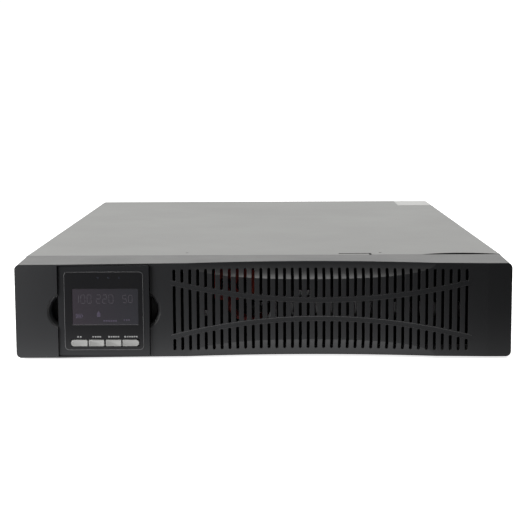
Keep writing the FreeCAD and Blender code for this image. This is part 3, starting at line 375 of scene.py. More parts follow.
def body_finish(name, colour, rough=0.5, metal=0.0, grain=900.0, bump=0.15, depth=0.00005,
                edge=0.0004, edge_wear_and_highlight=0.4, edge_colour=None, variation=0.08, dust=0.06, coat=0.0,
                specular=0.5):
    """A grained body colour with soft edges painted paler, partly as wear and partly as a painted
    highlight, with blotches and dust.
    """
    material, tree, shader = new_material(name)
    surface = place_group(tree, GRAIN, Grain_Scale=grain, Blotch_Scale=9.0)
    edges = place_group(tree, EDGES, Radius=edge, Wear=edge_wear_and_highlight)
    film = place_group(tree, DUST, Amount=dust)
    mottled = mix_colour(tree, surface.outputs["Blotch"], scaled(colour, 1 - variation),
                         scaled(colour, 1 + variation))
    # Edges are painted paler: partly wear, partly a painted highlight along the edge.
    rubbed_and_lit_edges = mix_colour(tree, edges.outputs["Edge"], mottled, edge_colour or scaled(colour, 1.9))
    dusty = mix_colour(tree, film.outputs["Dust"], rubbed_and_lit_edges, (0.45, 0.44, 0.42))
    wire(tree, dusty, shader.inputs["Base Color"])
    gloss = ranged(tree, surface.outputs["Blotch"], rough - 0.06, rough + 0.06)
    wire(tree, gloss, shader.inputs["Roughness"])
    relief = add_node(tree, "ShaderNodeBump")
    relief.inputs["Strength"].default_value = bump
    relief.inputs["Distance"].default_value = depth
    wire(tree, surface.outputs["Height"], relief.inputs["Height"])
    wire(tree, edges.outputs["Normal"], relief.inputs["Normal"])
    wire(tree, relief.outputs[0], shader.inputs["Normal"])
    shader.inputs["Metallic"].default_value = metal
    shader.inputs["Coat Weight"].default_value = coat
    shader.inputs["Coat Roughness"].default_value = 0.05
    shader.inputs["Specular IOR Level"].default_value = specular
    return material


# %% [markdown]
# ## Finishes by slot
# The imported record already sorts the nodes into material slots.  A table from
# slot to finish keeps the whole palette in one place.

# %% The palette
TINT_LEFT = (0.052, 0.0435, 0.054)
TINT_RIGHT = (0.044, 0.0442, 0.0515)


def tinted_display():
    """The unlit display: a plum ground that fades to grey on its right."""
    material, tree, shader = new_material("lcd")
    low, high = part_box("lcd_screen")
    place = add_node(tree, "ShaderNodeTexCoord")
    parts = add_node(tree, "ShaderNodeSeparateXYZ")
    wire(tree, place.outputs["Object"], parts.inputs[0])
    across = ranged(tree, parts.outputs["X"], 0.0, 1.0, low.x, high.x)
    surface = place_group(tree, GRAIN, Grain_Scale=600.0, Blotch_Scale=30.0)
    tint = mix_colour(tree, across, TINT_LEFT, TINT_RIGHT)
    cloudy = mix_colour(tree, math_node(tree, "MULTIPLY", surface.outputs["Blotch"], 0.2), tint,
                        (0.03, 0.03, 0.035))
    wire(tree, cloudy, shader.inputs["Base Color"])
    shader.inputs["Roughness"].default_value = 0.25
    return material


palette = {
    "bezel_plastic": body_finish("bezel_plastic", (0.026, 0.0265, 0.0285), rough=0.42, grain=1500.0,
                                 bump=0.25, edge=0.0005, edge_wear_and_highlight=0.35, dust=0.2),
    "module_plastic": body_finish("module_plastic", (0.017, 0.0175, 0.0195), rough=0.38, grain=1500.0,
                                  bump=0.2, edge=0.0004),
    "lens_gloss": body_finish("lens_gloss", (0.013, 0.013, 0.0145), rough=0.3, bump=0.02, edge=0.0003,
                              edge_wear_and_highlight=0.2, variation=0.03, dust=0.02),
    "lcd": tinted_display(),
    # The keys' near-white rims are partly wear and partly a painted highlight.
    "button_silver": body_finish("button_silver", (0.42, 0.42, 0.41), rough=0.35, metal=0.15,
                                 grain=1200.0, edge=0.0005, edge_wear_and_highlight=0.8, edge_colour=(0.75, 0.75, 0.74)),
    "circuit_board": body_finish("circuit_board", (0.015, 0.12, 0.045), rough=0.4, grain=500.0),
    "switch_body": body_finish("switch_body", (0.02, 0.02, 0.02), rough=0.5),
    "case_paint": body_finish("case_paint", (0.155, 0.155, 0.15), rough=0.4, grain=1100.0, bump=0.3,
                              edge=0.0006, edge_wear_and_highlight=0.15, variation=0.02, dust=0.03),
    "rear_paint": body_finish("rear_paint", (0.15, 0.15, 0.145), rough=0.42, grain=1100.0, bump=0.3,
                              edge_wear_and_highlight=0.2, variation=0.03),
    # The inner panels are black paint, set darker than real black paint as painted shade, so the
    # interior behind the grille reads black.
    "inner_paint": body_finish("inner_paint", (0.005, 0.005, 0.0052), rough=0.6, grain=1100.0, bump=0.3,
                               specular=0.25, dust=0.01),
    "bare_steel": body_finish("bare_steel", (0.5, 0.5, 0.51), rough=0.38, metal=1.0, grain=300.0),
    "screw_steel": body_finish("screw_steel", (0.42, 0.42, 0.44), rough=0.3, metal=0.9, edge=0.0002,
                               variation=0.15),
    "label_film": body_finish("label_film", (0.42, 0.42, 0.41), rough=0.4, bump=0.05, variation=0.02),
    "battery_case": body_finish("battery_case", (0.018, 0.018, 0.02), rough=0.5, grain=700.0),
    "connector_red": body_finish("connector_red", (0.62, 0.07, 0.055), rough=0.4, grain=900.0),
    "lead_red": body_finish("lead_red", (0.3, 0.03, 0.025), rough=0.45),
    "lead_black": body_finish("lead_black", (0.012, 0.012, 0.012), rough=0.45),
    "link_wire": body_finish("link_wire", (0.015, 0.015, 0.015), rough=0.5),
    "heatsink_aluminium": body_finish("heatsink_aluminium", (0.6, 0.6, 0.62), rough=0.3, metal=1.0),
    "capacitor_sleeve": body_finish("capacitor_sleeve", (0.02, 0.03, 0.07), rough=0.25, coat=0.3),
    "winding_copper": body_finish("winding_copper", (0.35, 0.12, 0.04), rough=0.3, metal=0.5),
    "core_ferrite": body_finish("core_ferrite", (0.03, 0.028, 0.025), rough=0.6),
    "relay_case": body_finish("relay_case", (0.018, 0.018, 0.02), rough=0.4),
    "fan_plastic": body_finish("fan_plastic", (0.014, 0.014, 0.015), rough=0.45),
    "socket_plastic": body_finish("socket_plastic", (0.012, 0.012, 0.012), rough=0.45),
    "breaker_plastic": body_finish("breaker_plastic", (0.014, 0.014, 0.014), rough=0.45),
    "breaker_cap": body_finish("breaker_cap", (0.5, 0.5, 0.48), rough=0.3),
    "port_metal": body_finish("port_metal", (0.4, 0.4, 0.41), rough=0.32, metal=1.0, variation=0.15),
}
node_slot = {row["node"]: row["material_slot"] for row in frame["record"]["subparts"]}
for node_name, node_object in frame["nodes"].items():
    node_object.data.materials.clear()
    node_object.data.materials.append(palette[node_slot[node_name]])
zinc = body_finish("zinc_plate", (0.75, 0.75, 0.76), rough=0.4, metal=0.15, edge=0.0002)
frame["nodes"]["door_screws"].data.materials[0] = zinc
print("finishes", len(palette))

# %% [markdown]
# ## Small tools for modelling
# Every new piece starts as a primitive at its true size and place.  Faces and
# edges are picked in code by where they are or which way they look, because
# there is no mouse here, and operators then act on what is picked.  A helper
# for each of those steps keeps the later cells short.

# %% Modelling helpers


def clear_selection():
    if bpy.context.mode != "OBJECT":
        bpy.ops.object.mode_set(mode="OBJECT")
    bpy.ops.object.select_all(action="DESELECT")


def settle(piece):
    """Put a piece's place, turn and size into its mesh."""
    clear_selection()
    piece.select_set(True)
    bpy.context.view_layer.objects.active = piece
    bpy.ops.object.transform_apply(location=True, rotation=True, scale=True)


def block(name, low, high):
    """A box between two corners, ready to be shaped."""
    clear_selection()
    middle = (Vector(low) + Vector(high)) / 2
    size = Vector(high) - Vector(low)
    bpy.ops.mesh.primitive_cube_add(size=1, location=middle, scale=size)
    piece = bpy.context.object
    piece.name = name
    settle(piece)
    return piece


def drum(name, centre, radius, depth, sides=32, axis="y"):
    """A cylinder along one axis, ready to be shaped."""
    clear_selection()
    turn = {"x": (0, math.pi / 2, 0), "y": (math.pi / 2, 0, 0), "z": (0, 0, 0)}[axis]
    bpy.ops.mesh.primitive_cylinder_add(vertices=sides, radius=radius, depth=depth,
                                        location=centre, rotation=turn)
    piece = bpy.context.object
    piece.name = name
    settle(piece)
    return piece


def pick_faces(piece, wanted):
    """Enter edit mode with only the wanted faces selected."""
    clear_selection()
    bpy.context.view_layer.objects.active = piece
    piece.select_set(True)
    bpy.ops.object.mode_set(mode="EDIT")
    bpy.ops.mesh.select_mode(type="FACE")
    bpy.ops.mesh.select_all(action="DESELECT")
    bpy.ops.object.mode_set(mode="OBJECT")
    for face in piece.data.polygons:
        face.select = bool(wanted(face.center, face.normal))
    bpy.ops.object.mode_set(mode="EDIT")


def pick_edges(piece, wanted):
    """Enter edit mode with only the wanted edges selected."""
    clear_selection()
    bpy.context.view_layer.objects.active = piece
    piece.select_set(True)
    bpy.ops.object.mode_set(mode="EDIT")
    bpy.ops.mesh.select_mode(type="EDGE")
    bpy.ops.mesh.select_all(action="DESELECT")
    bpy.ops.object.mode_set(mode="OBJECT")
    points = piece.data.vertices
    for edge in piece.data.edges:
        start = points[edge.vertices[0]].co
        end = points[edge.vertices[1]].co
        edge.select = bool(wanted((start + end) / 2, (end - start).normalized()))
    bpy.ops.object.mode_set(mode="EDIT")


def leave_edit():
    bpy.ops.object.mode_set(mode="OBJECT")


def stretch(move=(0, 0, 0)):
    """Extrude the selected faces and move them."""
    bpy.ops.mesh.extrude_region_move(TRANSFORM_OT_translate={"value": move})


def finish_modifier(piece, kind, **settings):
    """Add a modifier and apply it at once."""
    clear_selection()
    bpy.context.view_layer.objects.active = piece
    piece.select_set(True)
    modifier = piece.modifiers.new(kind.lower(), kind)
    for label, value in settings.items():
        setattr(modifier, label, value)
    bpy.ops.object.modifier_apply(modifier=modifier.name)


def smooth(piece, angle=35):
    clear_selection()
    bpy.context.view_layer.objects.active = piece
    piece.select_set(True)
    bpy.ops.object.shade_smooth_by_angle(angle=math.radians(angle))


def copy_of(piece, name, matrix):
    """A copy with its own mesh, moved in its mesh."""
    twin = piece.copy()
    twin.data = piece.data.copy()
    twin.data.transform(matrix)
    twin.name = name
    bpy.context.collection.objects.link(twin)
    return twin


def joined(name, parts):
    """Join several meshes into the first one."""
    clear_selection()
    for part in parts:
        part.select_set(True)
    bpy.context.view_layer.objects.active = parts[0]
    bpy.ops.object.join()
    whole = bpy.context.object
    whole.name = name
    return whole


def dress(piece, finish, body, angle=35):
    """Smooth a finished piece, give it its finish and let it ride on its body."""
    smooth(piece, angle)
    piece.data.materials.clear()
    piece.data.materials.append(finish)
    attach(piece, body)
    print(piece.name, "faces", len(piece.data.polygons))
    return piece


# %% [markdown]
# ## The four keys
# On the real unit each key is a moulded cap with a satin silver coat.  It has
# a flange behind the window that keeps it in, and a short stem that meets its
# switch.  The caps at the two ends of the row are rounded.  A plain block would
# do for the outline, but the eye reads the thin bright rim and the slightly
# dished middle, so the front face is inset and pushed in, and the rim rounded.

# %% Model the keys
KEY_HEIGHT = 5.6 * MM
KEY_DEEP = 4.6 * MM
KEY_RIM = 0.55 * MM
KEY_DISH = 0.22 * MM
FLANGE_THICK = 1.0 * MM
STEM_HALF = 1.6 * MM
ALONG = {"x": Vector((1, 0, 0)), "y": Vector((0, 1, 0)), "z": Vector((0, 0, 1))}


def model_key(index):
    """One key cap with its flange and stem, in the place of its engineering node."""
    node = "button_" + str(index)
    low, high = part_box(node)
    level = (low.z + high.z) / 2
    front = low.y
    back = front + KEY_DEEP
    key = block("key_cap_" + str(index), (low.x, front, level - KEY_HEIGHT / 2),
                (high.x, back, level + KEY_HEIGHT / 2))
    round_x = {1: low.x, 4: high.x}.get(index)
    if round_x is not None:
        pick_edges(key, lambda at, way: abs(way.y) > 0.9 and abs(at.x - round_x) < 1e-6)
        bpy.ops.mesh.bevel(offset=KEY_HEIGHT * 0.49, segments=8)
    pick_edges(key, lambda at, way: (abs(way.y) > 0.9
                                     and (round_x is None or abs(at.x - round_x) > 4 * MM)))
    bpy.ops.mesh.bevel(offset=0.5 * MM, segments=3)
    pick_faces(key, lambda at, normal: normal.y < -0.9)
    bpy.ops.mesh.inset(thickness=KEY_RIM)
    bpy.ops.transform.translate(value=(0, KEY_DISH, 0))
    pick_edges(key, lambda at, way: abs(at.y - front) < 1e-6 and abs(way.y) < 0.1)
    bpy.ops.mesh.bevel(offset=0.16 * MM, segments=2)
    pick_faces(key, lambda at, normal: normal.y > 0.9)
    bpy.ops.mesh.extrude_region_move(TRANSFORM_OT_translate={"value": (0, 0, 0)})
    flange_stretch = (high.z - low.z) / KEY_HEIGHT
    flange_centre = ((low.x + high.x) / 2, back, level)
    bpy.ops.transform.resize(value=(1, 1, flange_stretch), center_override=flange_centre)
    stretch((0, FLANGE_THICK, 0))
    bpy.ops.mesh.extrude_region_move(TRANSFORM_OT_translate={"value": (0, 0, 0)})
    stem_scale = (2 * STEM_HALF / (high.x - low.x), 1, 2 * STEM_HALF / (high.z - low.z))
    stem_centre = ((low.x + high.x) / 2, back + FLANGE_THICK, level)
    bpy.ops.transform.resize(value=stem_scale, center_override=stem_centre)
    stretch((0, high.y - back - FLANGE_THICK, 0))
    leave_edit()
    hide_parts(node)
    return dress(key, palette["button_silver"], node, 40)


for number in range(1, 5):
    model_key(number)

# %% [markdown]
# ## The bright line round the display plate
# The gloss plate has a moulded bead along its edge that catches the light as
# a thin line, and the bead is also coloured far paler than the plate as a
# painted highlight.  It starts as a flat rectangle.  Its corners are rounded by a
# bevel on the points, it is inset, and the middle is deleted.  Solidify then
# gives the ring its thickness.

# %% Model the plate's bead
lens_low, lens_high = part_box("display_lens")
BEAD_WIDTH = 0.45 * MM
BEAD_PROUD = 0.12 * MM
BEAD_DEEP = 0.35 * MM
PLATE_CORNER = 3.7 * MM


def upright_sheet(name, low, high):
    """A flat rectangle in the XZ plane that looks forwards."""
    clear_selection()
    middle = (Vector(low) + Vector(high)) / 2
    bpy.ops.mesh.primitive_plane_add(size=1, location=middle, rotation=(math.pi / 2, 0, 0))
    sheet = bpy.context.object
    sheet.scale = (high[0] - low[0], high[2] - low[2], 1)
    sheet.name = name
    settle(sheet)
    return sheet


def model_plate_bead():
    y = lens_low.y - BEAD_PROUD
    bead = upright_sheet("plate_bead", (lens_low.x, y, lens_low.z), (lens_high.x, y, lens_high.z))
    pick_faces(bead, lambda at, normal: True)
    bpy.ops.mesh.bevel(offset=PLATE_CORNER, segments=8, affect="VERTICES")
    bpy.ops.mesh.select_all(action="SELECT")
    bpy.ops.mesh.inset(thickness=BEAD_WIDTH)
    bpy.ops.mesh.delete(type="FACE")
    leave_edit()
    finish_modifier(bead, "SOLIDIFY", thickness=BEAD_DEEP, offset=-1)
    finish_modifier(bead, "BEVEL", width=0.1 * MM, segments=2)
    return bead


plate_bead = model_plate_bead()
bead_low = min(v.co.y for v in plate_bead.data.vertices)
print("bead stands", round((lens_low.y - bead_low) / MM, 2), "mm proud")
# The bead's pale colour and its paler edges are a painted highlight.
bead_highlight_finish = body_finish("bead_painted_highlight", (0.15, 0.15, 0.155), rough=0.2, edge_wear_and_highlight=0.9,
                          edge_colour=(0.5, 0.5, 0.5), edge=0.0001, variation=0.6)
dress(plate_bead, bead_highlight_finish, "display")

# %% [markdown]
# ## What the unlit display still shows
# An unlit liquid crystal display is not blank: from the side its segments
# stand out faintly from the ground.  A segment is a bar with pointed ends.
# One is modelled, and copies of it make every digit and every bar.  They are
# real plates a few hundredths of a millimetre thick, so they also shade.

# %% Model the display's segments
lcd_low, lcd_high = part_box("lcd_screen")
LCD_WIDE = lcd_high.x - lcd_low.x
LCD_TALL = lcd_high.z - lcd_low.z
SEGMENT_PROUD = 0.05 * MM
DIGIT_SHAPES = {0: "abcdef", 1: "bc", 2: "abged", 5: "afgcd", 8: "abcdefg"}


def model_segment(length, width):
    """A flat bar with pointed ends, lying along X at the display's face."""
    bar = block("segment", (-length / 2, lcd_low.y - SEGMENT_PROUD, -width / 2),
                (length / 2, lcd_low.y + SEGMENT_PROUD, width / 2))
    pick_edges(bar, lambda at, way: abs(way.y) > 0.9)
    bpy.ops.mesh.bevel(offset=width * 0.48, segments=1)
    leave_edit()
    return bar


def segment_places(tall, wide):
    """Where each of a digit's seven bars goes: centre and whether it stands up."""
    return {"a": (0, tall / 2, False), "g": (0, 0, False), "d": (0, -tall / 2, False),
            "f": (-wide / 2, tall / 4, True), "b": (wide / 2, tall / 4, True),
            "e": (-wide / 2, -tall / 4, True), "c": (wide / 2, -tall / 4, True)}


def model_digit(value, centre_x, centre_z, tall, wide, thick):
    """The bars of one digit, as copies of one segment."""
    upright = model_segment(tall / 2 - thick * 0.4, thick)
    level = model_segment(wide - thick * 0.4, thick)
    bars = []
    for letter in DIGIT_SHAPES[value]:
        dx, dz, stands = segment_places(tall, wide)[letter]
        place = Matrix.Translation((centre_x + dx, 0, centre_z + dz))
        if stands:
            bars.append(copy_of(upright, "bar", place @ Matrix.Rotation(math.pi / 2, 4, "Y")))
        else:
            bars.append(copy_of(level, "bar", place))
    for pattern in (upright, level):
        bpy.data.objects.remove(pattern)
    return bars


def lcd_point(across, up):
    """A place on the display from two fractions of its width and height."""
    return lcd_low.x + across * LCD_WIDE, lcd_low.z + up * LCD_TALL


def model_number(digits, across, up, tall, wide, thick, pitch):
    bars = []
    x, z = lcd_point(across, up)
    for order, value in enumerate(digits):
        bars += model_digit(value, x + order * pitch, z, tall, wide, thick)
    return bars


big_number = model_number((1, 0, 0), 0.07, 0.72, 7.5 * MM, 3.6 * MM, 0.8 * MM, 5.6 * MM)
middle_number = model_number((2, 2, 0), 0.40, 0.72, 7.5 * MM, 3.6 * MM, 0.8 * MM, 5.6 * MM)
end_number = model_number((5, 0), 0.80, 0.72, 6.5 * MM, 3.2 * MM, 0.7 * MM, 5.0 * MM)
display_digits = joined("display_digits", big_number + middle_number + end_number)
digit_finish = body_finish("digit_ink", (0.082, 0.074, 0.088), rough=0.3, bump=0.02, variation=0.25)
dress(display_digits, digit_finish, "display")

# %% [markdown]
# ## Pictures on the display
# Below the numbers sit simple pictures: a battery with its charge bars, a
# plug-shaped load mark and a level gauge.  The battery is a block whose front
# is inset and deleted to leave a frame.  Each picture is kept to a few faces.

# %% Model the display's pictures


def picture_block(x0, x1, z0, z1):
    low = (x0, lcd_low.y - SEGMENT_PROUD, z0)
    return block("picture", low, (x1, lcd_low.y + SEGMENT_PROUD, z1))


def model_battery_picture():
    x, z = lcd_point(0.055, 0.20)
    frame_piece = picture_block(x, x + 5.6 * MM, z, z + 3.6 * MM)
    pick_faces(frame_piece, lambda at, normal: abs(normal.y) > 0.9)
    bpy.ops.mesh.inset(thickness=0.45 * MM, use_individual=True)
    bpy.ops.mesh.bridge_edge_loops()
    leave_edit()
    tip = picture_block(x + 5.6 * MM, x + 6.2 * MM, z + 1.1 * MM, z + 2.5 * MM)
    bars = []
    for order in range(3):
        left = x + (0.9 + order * 1.35) * MM
        bars.append(picture_block(left, left + 0.95 * MM, z + 0.9 * MM, z + 2.7 * MM))
    return [frame_piece, tip] + bars


def model_load_picture():
    x, z = lcd_point(0.40, 0.28)
    clear_selection()
    bpy.ops.mesh.primitive_cylinder_add(vertices=3, radius=2.2 * MM, depth=2 * SEGMENT_PROUD,
                                        location=(x, lcd_low.y, z + 1.6 * MM),
                                        rotation=(math.pi / 2, 0, 0))
    roof = bpy.context.object
    settle(roof)
    wall = picture_block(x - 1.5 * MM, x + 1.5 * MM, z - 1.6 * MM, z + 0.4 * MM)
    return [roof, wall]


def model_gauge(across, up, count, wide, gap):
    x, z = lcd_point(across, up)
    bars = []
    for order in range(count):
        left = x + order * (wide + gap)
        bars.append(picture_block(left, left + wide, z, z + 1.2 * MM))
    return bars


pictures = model_battery_picture() + model_load_picture()
pictures += model_gauge(0.47, 0.10, 6, 1.6 * MM, 0.5 * MM)
pictures += model_gauge(0.78, 0.12, 3, 1.2 * MM, 0.8 * MM)
display_pictures = joined("display_pictures", pictures)
picture_finish = body_finish("picture_ink", (0.10, 0.085, 0.125), rough=0.3, bump=0.02, variation=0.35)
dress(display_pictures, picture_finish, "display")
# A thin strip along the display's lower edge takes the bead's pale finish as a painted highlight.
edge_line = picture_block(lcd_low.x, lcd_high.x, lcd_low.z + 0.1 * MM, lcd_low.z + 0.45 * MM)
pick_edges(edge_line, lambda at, way: abs(way.x) > 0.9)
bpy.ops.mesh.bevel(offset=0.02 * MM, segments=1)
leave_edit()
edge_line.name = "display_edge"
dress(edge_line, bead_highlight_finish, "display")

# %% [markdown]
# ## Marks over the keys
# Each key has a small white print above it.  Here the prints are plain
# pictures with no lettering: an arrow, a dot or a bar, followed by short
# dashes.  Print has almost no thickness, so each mark is a plate of 0.03 mm.

# %% Model the key marks
MARK_PROUD = 0.03 * MM
MARK_TALL = 1.2 * MM
MARK_RISE = 2.7 * MM


def mark_block(x0, x1, z0, z1):
    low = (x0, lens_low.y - MARK_PROUD, z0)
    piece = block("mark", low, (x1, lens_low.y + MARK_PROUD, z1))
    pick_edges(piece, lambda at, way: abs(way.y) > 0.9)
    bpy.ops.mesh.bevel(offset=0.2 * MM, segments=2)
    leave_edit()
    return piece


def mark_arrow(x, z, upwards):
    clear_selection()
    bpy.ops.mesh.primitive_cylinder_add(vertices=3, radius=1.05 * MM, depth=2 * MARK_PROUD,
                                        location=(x, lens_low.y, z),
                                        rotation=(math.pi / 2, 0 if upwards else math.pi, 0))
    arrow = bpy.context.object
    settle(arrow)
    return arrow


def key_mark(index, dashes):
    low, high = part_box("button_" + str(index))
    middle = (low.x + high.x) / 2
    z = (low.z + high.z) / 2 + KEY_HEIGHT / 2 + MARK_RISE
    dash = 1.5 * MM
    gap = 0.5 * MM
    width = 2.0 * MM + dashes * (dash + gap)
    left = middle - width / 2
    if index < 3:
        parts = [mark_arrow(left + MM, z, index == 1)]
    else:
        parts = [drum("mark", (left + MM, lens_low.y, z), 0.85 * MM, 2 * MARK_PROUD, 16)]
    for order in range(dashes):
        start = left + 2.0 * MM + gap + order * (dash + gap)
        parts.append(mark_block(start, start + dash, z - MARK_TALL / 2, z + MARK_TALL / 2))
    return parts


mark_parts = []
for number, dashes in ((1, 1), (2, 3), (3, 4), (4, 5)):
    mark_parts += key_mark(number, dashes)
key_marks = joined("key_marks", mark_parts)
mark_finish = body_finish("mark_ink", (0.42, 0.42, 0.42), rough=0.5, bump=0.05, variation=0.2)
dress(key_marks, mark_finish, "display")

# %% [markdown]
# ## Status lamps
# Three small lamps sit behind the top of the gloss plate.  They are off, so
# each window is only a slightly paler disc that lies flush with the plate.

# %% Model the status lamps
LAMP_R = 0.9 * MM
LAMP_ACROSS = (0.43, 0.565, 0.7)
LAMP_DOWN = 0.076

lamp_z = lens_high.z - LAMP_DOWN * (lens_high.z - lens_low.z)
lamp_parts = []
for share in LAMP_ACROSS:
    lamp_x = lens_low.x + share * (lens_high.x - lens_low.x)
    lamp_parts.append(drum("lamp", (lamp_x, lens_low.y, lamp_z), LAMP_R, 2 * MARK_PROUD, 20))
status_lamps = joined("status_lamps", lamp_parts)
lamp_finish = body_finish("lamp_window", (0.03, 0.032, 0.042), rough=0.2, bump=0.02)
dress(status_lamps, lamp_finish, "display")

# %% [markdown]
# ## Raised lines along the two grille bars
# The two bowed bars that cross the grille each have a fine raised line along
# both edges.  A long thin strip is bent to follow the bar, and it is moved
# back to lie on the hollow face.  The bend is a formula, so it is applied to
# the strip's points in code, and Solidify and Bevel make it a rounded bead.
# The lines are coloured paler than the bezel as a painted highlight, and the
# upper line of the lower bar, which looks up, is painted paler still.

# %% Model the bar lines
bezel_low, bezel_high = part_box("front_bezel")
MIDDLE_Z = (cad_low.z + bezel_high.z) / 2
FACE_MIDDLE_X = 8.5 * MM
FACE_RADIUS = 2568 * MM
FACE_DEPTH = 7.0 * MM
BAR_MIDDLE_X = 50.4 * MM
BAR_OFFSET = 8.2 * MM
BAR_CURVE = 0.93
BAR_HALF = 2.2 * MM
LINE_X = (-82 * MM, 184 * MM)
LINE_WIDTH = 0.5 * MM
LINE_PROUD = 0.28 * MM


def face_y(x):
    """Where the hollow face lies at one place across the front."""
    away = x - FACE_MIDDLE_X
    return bezel_low.y + FACE_DEPTH - FACE_RADIUS + math.sqrt(FACE_RADIUS ** 2 - away ** 2)


def bar_height(x):
    return BAR_OFFSET + BAR_CURVE * (x - BAR_MIDDLE_X) ** 2


def model_bar_line(side, edge):
    """One raised line: side picks the bar above or below, edge its inner or outer rim."""
    clear_selection()
    bpy.ops.mesh.primitive_grid_add(x_subdivisions=72, y_subdivisions=1, size=1,
                                    rotation=(math.pi / 2, 0, 0))
    strip = bpy.context.object
    settle(strip)
    for point in strip.data.vertices:
        x = LINE_X[0] + (point.co.x + 0.5) * (LINE_X[1] - LINE_X[0])
        offset = bar_height(x) + edge * (BAR_HALF - LINE_WIDTH / 2)
        height = MIDDLE_Z + side * offset + point.co.z * LINE_WIDTH
        point.co = Vector((x, face_y(x) - LINE_PROUD, height))
    finish_modifier(strip, "SOLIDIFY", thickness=LINE_PROUD + 0.2 * MM, offset=-1)
    finish_modifier(strip, "BEVEL", width=0.12 * MM, segments=2)
    return strip


# The lower bar's upper line gets a much paler colour, a painted highlight where it faces up.
highlight_line = model_bar_line(-1, -1)
highlight_line.name = "bar_line_painted_highlight"
highlight_line_finish = body_finish("bar_line_painted_highlight", (0.09, 0.09, 0.092), rough=0.3, edge_wear_and_highlight=0.9,
                         edge_colour=(0.2, 0.2, 0.2), edge=0.0001, variation=0.5)
dress(highlight_line, highlight_line_finish, "bezel")
bar_lines = joined("bar_lines", [model_bar_line(side, edge)
                                 for side, edge in ((-1, 1), (1, -1), (1, 1))])
# The other lines are paler than the bezel, as a painted highlight along the bars' edges.
line_highlight_finish = body_finish("bar_line", (0.038, 0.038, 0.04), rough=0.35, edge_wear_and_highlight=0.6, edge=0.0001,
                          variation=0.3)
dress(bar_lines, line_highlight_finish, "bezel")

# %% [markdown]
# ## Soft linings of the finger recesses
# Beside the display module the bezel has two half-moon recesses for the
# fingertips, and each one narrows softly before it drops straight in.  The
# lining starts as an open cone.  It is cut at the edge of the pocket, and
# Solidify gives it a wall.

# %% Model the recess linings
RECESS_R = 17.8 * MM
RECESS_REACH = 9.5 * MM
RECESS_RIM = 1.2 * MM
POCKET_GAP = 0.4 * MM
LINING_DEPTH = 6.0 * MM
LINING_DRAW = 2.0 * MM
LINING_WALL = 0.4 * MM

housing_low, housing_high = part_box("display_housing")


def model_lining(side):
    """One half-moon funnel; side is -1 left of the module and 1 right of it."""
    edge = (housing_high.x if side > 0 else housing_low.x) + side * POCKET_GAP
    centre_x = edge + side * (RECESS_REACH - RECESS_R)
    start_y = max(bezel_low.y, face_y(edge + side * RECESS_REACH)) + RECESS_RIM
    mouth = RECESS_R - RECESS_RIM
    clear_selection()
    bpy.ops.mesh.primitive_cone_add(vertices=96, radius1=mouth, radius2=mouth - LINING_DRAW,
                                    depth=LINING_DEPTH, end_fill_type="NOTHING",
                                    location=(centre_x, start_y + LINING_DEPTH / 2, MIDDLE_Z),
                                    rotation=(-math.pi / 2, 0, 0))
    lining = bpy.context.object
    lining.name = "recess_lining_left" if side < 0 else "recess_lining_right"
    settle(lining)
    pick_faces(lining, lambda at, normal: True)
    bpy.ops.mesh.bisect(plane_co=(edge, 0, 0), plane_no=(side, 0, 0), clear_inner=True)
    leave_edit()
    finish_modifier(lining, "SOLIDIFY", thickness=LINING_WALL, offset=-1)
    pick_faces(lining, lambda at, normal: True)
    bpy.ops.mesh.normals_make_consistent(inside=False)
    leave_edit()
    return dress(lining, palette["bezel_plastic"], "bezel")


for side in (-1, 1):
    model_lining(side)

# %% [markdown]
# ## Contacts inside the outlets
# Behind every slit of a power outlet sits a sprung brass fork that grips the
# pin of the plug.  Two thin leaves rise from a small base and flare at their
# tips.  One fork is modelled and copied into all twenty-four slits.

# %% Model the outlet contacts
FORK_HALF = 1.0 * MM
FORK_TALL = 4.4 * MM
LEAF_THICK = 0.4 * MM
LEAF_LONG = 6.0 * MM
LEAF_FLARE = 0.3 * MM
FORK_DEPTH = 13.0 * MM
SLIT_OFFSETS = (-7 * MM, 0, 7 * MM)


def model_fork():
    """One fork with its base in the XZ plane at the origin, opening towards +Y."""
    parts = [block("fork", (-FORK_HALF, -LEAF_THICK, -FORK_TALL / 2), (FORK_HALF, 0, FORK_TALL / 2))]
    for side in (-1, 1):
        inner, outer = sorted((side * (FORK_HALF - LEAF_THICK), side * FORK_HALF))
        leaf = block("leaf", (inner, 0, -FORK_TALL / 2), (outer, LEAF_LONG, FORK_TALL / 2))
        pick_faces(leaf, lambda at, normal: normal.y > 0.9)
        stretch((-side * LEAF_FLARE, LEAF_FLARE, 0))
        stretch((side * LEAF_FLARE, 2 * LEAF_FLARE, 0))
        leave_edit()
        parts.append(leaf)
    return joined("fork", parts)


def bank_places(node):
    """The middle of every slit of one bank of outlets."""
    low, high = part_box(node)
    step = (high.z - low.z) / 4
    middle = (low.x + high.x) / 2
    return [Vector((middle + shift, high.y - FORK_DEPTH, low.z + step * (row + 0.5)))
            for row in range(4) for shift in SLIT_OFFSETS]


fork = model_fork()
forks = [copy_of(fork, "fork", Matrix.Translation(place))
         for bank in ("outlet_bank_1", "outlet_bank_2") for place in bank_places(bank)]
bpy.data.objects.remove(fork)
outlet_contacts = joined("outlet_contacts", forks)
brass = body_finish("contact_brass", (0.55, 0.38, 0.14), rough=0.32, metal=1.0, grain=300.0)
dress(outlet_contacts, brass, "chassis")

# %% [markdown]
# ## Labels on the fan hubs
# Every fan carries a round film label on its hub.  Here it stays blank, with
# one pressed ring near its edge.  The ring is an inset band pushed in, because
# a ring of real depth keeps its line at any distance.

# %% Model the hub labels
HUB_LABEL_R = 13.0 * MM
HUB_LABEL_THICK = 0.2 * MM
HUB_RING_INSET = 1.6 * MM
HUB_RING_WIDTH = 0.5 * MM


